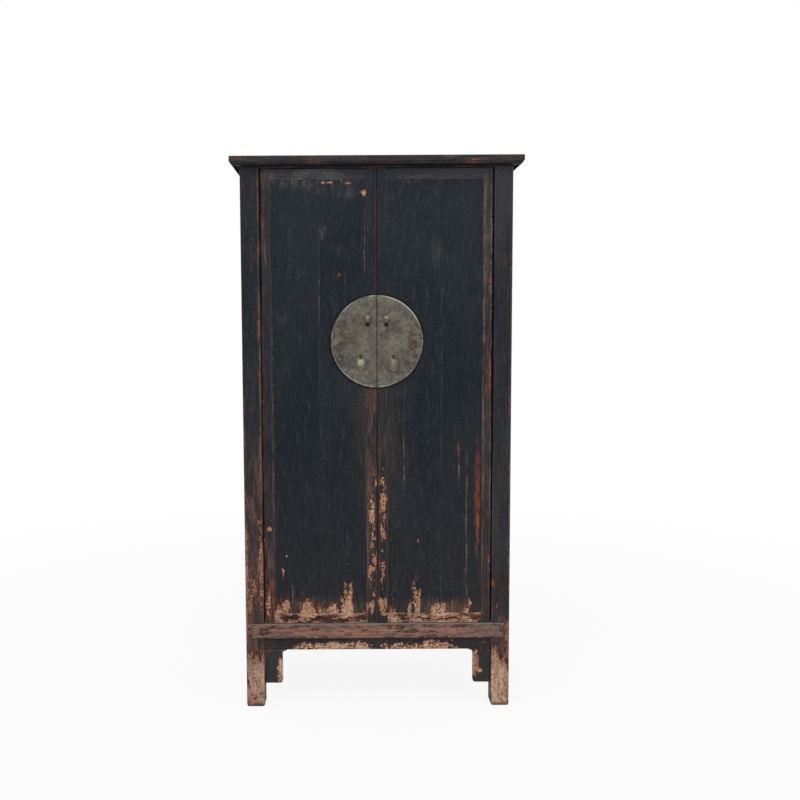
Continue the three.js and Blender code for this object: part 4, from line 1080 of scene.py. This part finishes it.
def nail_tree():
    """Geometry nodes that set domed nail heads along an arc inside the plate's rim."""
    tree = bpy.data.node_groups.new("Plate nails", "GeometryNodeTree")
    inputs = {**dict.fromkeys(("Circle", "Head", "From", "Sweep"), NUMBER), "Centre": VECTOR,
              "Nails": "NodeSocketInt", "Metal": "NodeSocketMaterial"}
    for label, kind in inputs.items():
        tree.interface.new_socket(label, in_out="INPUT", socket_type=kind)
    tree.interface.new_socket("Geometry", in_out="OUTPUT", socket_type="NodeSocketGeometry")
    entry = tree.nodes.new("NodeGroupInput")
    given = {label: Wire(tree, entry.outputs[label]) for label in inputs}
    root = Wire(tree)
    arc = root.node("GeometryNodeCurveArc", {"mode": "RADIUS"},
                    {"Resolution": given["Nails"], "Radius": given["Circle"],
                     "Start Angle": given["From"], "Sweep Angle": given["Sweep"]})
    upright = root.node("GeometryNodeTransform", None,
                        {"Geometry": arc, "Translation": given["Centre"],
                         "Rotation": (math.pi / 2, 0, 0)})
    points = root.node("GeometryNodeCurveToPoints", {"mode": "EVALUATED"}, {0: upright})
    head = root.node("GeometryNodeMeshUVSphere", None,
                     {"Segments": 12, "Rings": 6, "Radius": given["Head"] * 0.5})
    flat = root.node("GeometryNodeTransform", None,
                     {"Geometry": head, "Scale": (1.0, NAIL_DOME, 1.0)})
    nails = root.node("GeometryNodeInstanceOnPoints", None, {"Points": points, "Instance": flat})
    real = root.node("GeometryNodeRealizeInstances", None, {0: nails})
    smooth = root.node("GeometryNodeSetShadeSmooth", None, {0: real})
    metal = root.node("GeometryNodeSetMaterial", None,
                      {"Geometry": smooth, "Material": given["Metal"]})
    tree.links.new(metal.socket, tree.nodes.new("NodeGroupOutput").inputs[0])
    return tree


def grown(name, tree, values):
    """The plain mesh object that a geometry node tree makes from those values."""
    seed = placed(f"{name} seed", bpy.data.meshes.new(f"{name} seed"))
    modifier = seed.modifiers.new("Nodes", "NODES")
    modifier.node_group = tree
    for item in tree.interface.items_tree:
        if item.in_out == "INPUT":
            modifier[item.identifier] = values[item.name]
    mesh = evaluated_mesh(seed)
    seed.modifiers.remove(modifier)
    bpy.data.objects.remove(seed)
    if not mesh.polygons:
        raise RuntimeError(f"{name} came out empty")
    mesh.name = name
    return placed(name, mesh)


class ARMOIRE_OT_plate_nails(bpy.types.Operator):
    """Nails the two halves of the plate to the doors"""

    bl_idname = "armoire.plate_nails"
    bl_label = "Plate Nails"

    def execute(self, context):
        brass = context.scene.armoire_brass
        # The nails get a milder painted highlight and shade.
        metal = white_brass("white brass nails", brass, 1.0, 0.5)
        tree = nail_tree()
        for hand, side in HANDS:
            start = math.radians((0 if side > 0 else 180) - NAIL_ARC / 2)
            nails = grown(f"plate_nails_{hand}", tree, {
                "Circle": PLATE_RADIUS - brass.nail_inset, "Head": brass.nail_head,
                "Nails": brass.nail_count, "From": start, "Sweep": math.radians(NAIL_ARC),
                "Centre": (0.0, PLATE_FACE + brass.nail_head * NAIL_SUNK, PLATE_CENTRE),
                "Metal": metal,
            })
            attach(nails, f"door_{hand}")
        return {"FINISHED"}


class ARMOIRE_OT_stage(bpy.types.Operator):
    """Sets the pale floor, the soft lamps, the sky and the camera"""

    bl_idname = "armoire.stage"
    bl_label = "Stage"

    def execute(self, context):
        scene = context.scene
        stage = scene.armoire_stage
        pale_floor()
        sky(scene, stage.sky)
        soft_lamp("key", (-0.7, -2.6, 3.9), (0.0, 0.0, 1.1), 3.2, stage.key)
        soft_lamp("fill", (2.8, -2.4, 1.7), (0.0, 0.0, 0.9), 2.4, stage.key * 0.3)
        aim_camera(scene, stage)
        scene.view_settings.view_transform = "Standard"
        return {"FINISHED"}


def seen(root):
    """1 for what the camera, a reflection or a view through glass meets, else 0."""
    rays = [root.node("ShaderNodeLightPath", output=f"Is {kind} Ray")
            for kind in ("Camera", "Glossy", "Transmission")]
    return rays[0].most(rays[1]).most(rays[2])


FLOOR_REACH = 40.0
# How much of the floor's white shows near the armoire, where the rest takes its shadow.
FLOOR_WHITE = 0.89


def pale_floor():
    mesh = bpy.data.meshes.new("floor")
    corners = [(x * FLOOR_REACH, y * FLOOR_REACH, 0)
               for x, y in ((-1, -1), (1, -1), (1, 1), (-1, 1))]
    mesh.from_pydata(corners, [], [(0, 1, 2, 3)])
    floor = placed("floor", mesh)
    material = bpy.data.materials.new("pale floor")
    material.use_nodes = True
    tree = material.node_tree
    tree.nodes.remove(tree.nodes["Principled BSDF"])
    root = Wire(tree)
    lit = root.node("ShaderNodeBsdfDiffuse", None, {"Color": (0.86, 0.86, 0.855, 1)})
    white = root.node("ShaderNodeEmission", None, {"Color": (1, 1, 1, 1), "Strength": 1.0})
    away = root.node("ShaderNodeTexCoord", output="Object").length().ramp(0.9, 4.0)
    share = seen(root) * (FLOOR_WHITE + (1 - FLOOR_WHITE) * away)
    ground = root.node("ShaderNodeMixShader", None, {0: share, 1: lit, 2: white})
    tree.links.new(ground.socket, tree.nodes["Material Output"].inputs["Surface"])
    mesh.materials.append(material)


def sky(scene, strength):
    world = bpy.data.worlds.new("soft sky")
    world.use_nodes = True
    scene.world = world
    root = Wire(world.node_tree)
    background = world.node_tree.nodes["Background"]
    background.inputs["Color"].default_value = (1, 1, 1, 1)
    level = strength + seen(root) * (1.0 - strength)
    world.node_tree.links.new(level.socket, background.inputs["Strength"])


def soft_lamp(name, place, target, size, power):
    lamp = bpy.data.lights.new(name, "AREA")
    lamp.shape = "SQUARE"
    lamp.size = size
    lamp.energy = power
    aim = (Vector(target) - Vector(place)).to_track_quat("-Z", "Y")
    placed(name, lamp).matrix_world = Matrix.Translation(place) @ aim.to_matrix().to_4x4()


SENSOR = 36
# How far the picture's middle lies to one side of the armoire's, as a share of its width.
OFF_CENTRE = 0.0285


def aim_camera(scene, stage):
    camera = bpy.data.cameras.new("camera")
    camera.sensor_width = SENSOR
    camera.lens = stage.lens
    camera.shift_x = OFF_CENTRE + stage.aside / stage.distance * stage.lens / SENSOR
    scene.camera = placed("camera", camera)
    scene.camera.matrix_world = (
        Matrix.Translation((-stage.aside, DOOR_FRONT - stage.distance, stage.eye))
        @ Matrix.Rotation(math.pi / 2 - stage.tilt, 4, "X") @ Matrix.Rotation(stage.roll, 4, "Z"))


OPERATORS = (
    ARMOIRE_OT_lacquer_carcass, ARMOIRE_OT_lacquer_doors, ARMOIRE_OT_inside_wood,
    ARMOIRE_OT_face_plate, ARMOIRE_OT_pulls, ARMOIRE_OT_loops_and_pins,
    ARMOIRE_OT_plate_nails, ARMOIRE_OT_stage,
)


class ARMOIRE_PT_panel(bpy.types.Panel):
    """Lists the armoire's pieces and settings"""

    bl_idname = "ARMOIRE_PT_panel"
    bl_label = "Armoire"
    bl_space_type = "VIEW_3D"
    bl_region_type = "UI"
    bl_category = "Armoire"

    def draw(self, context):
        for operator in OPERATORS:
            self.layout.operator(operator.bl_idname)
        for name, kind in SETTINGS.items():
            box = self.layout.box()
            for setting in kind.__annotations__:
                box.prop(getattr(context.scene, name), setting)


CLASSES = (*SETTINGS.values(), *OPERATORS, ARMOIRE_PT_panel)


def register():
    for kind in CLASSES:
        bpy.utils.register_class(kind)
    for name, kind in SETTINGS.items():
        setattr(bpy.types.Scene, name, bpy.props.PointerProperty(type=kind))


def unregister():
    for name in SETTINGS:
        delattr(bpy.types.Scene, name)
    for kind in reversed(CLASSES):
        bpy.utils.unregister_class(kind)


def main():
    register()
    for operator in OPERATORS:
        family, name = operator.bl_idname.split(".")
        getattr(getattr(bpy.ops, family), name)()


if __name__ == "__main__":
    main()
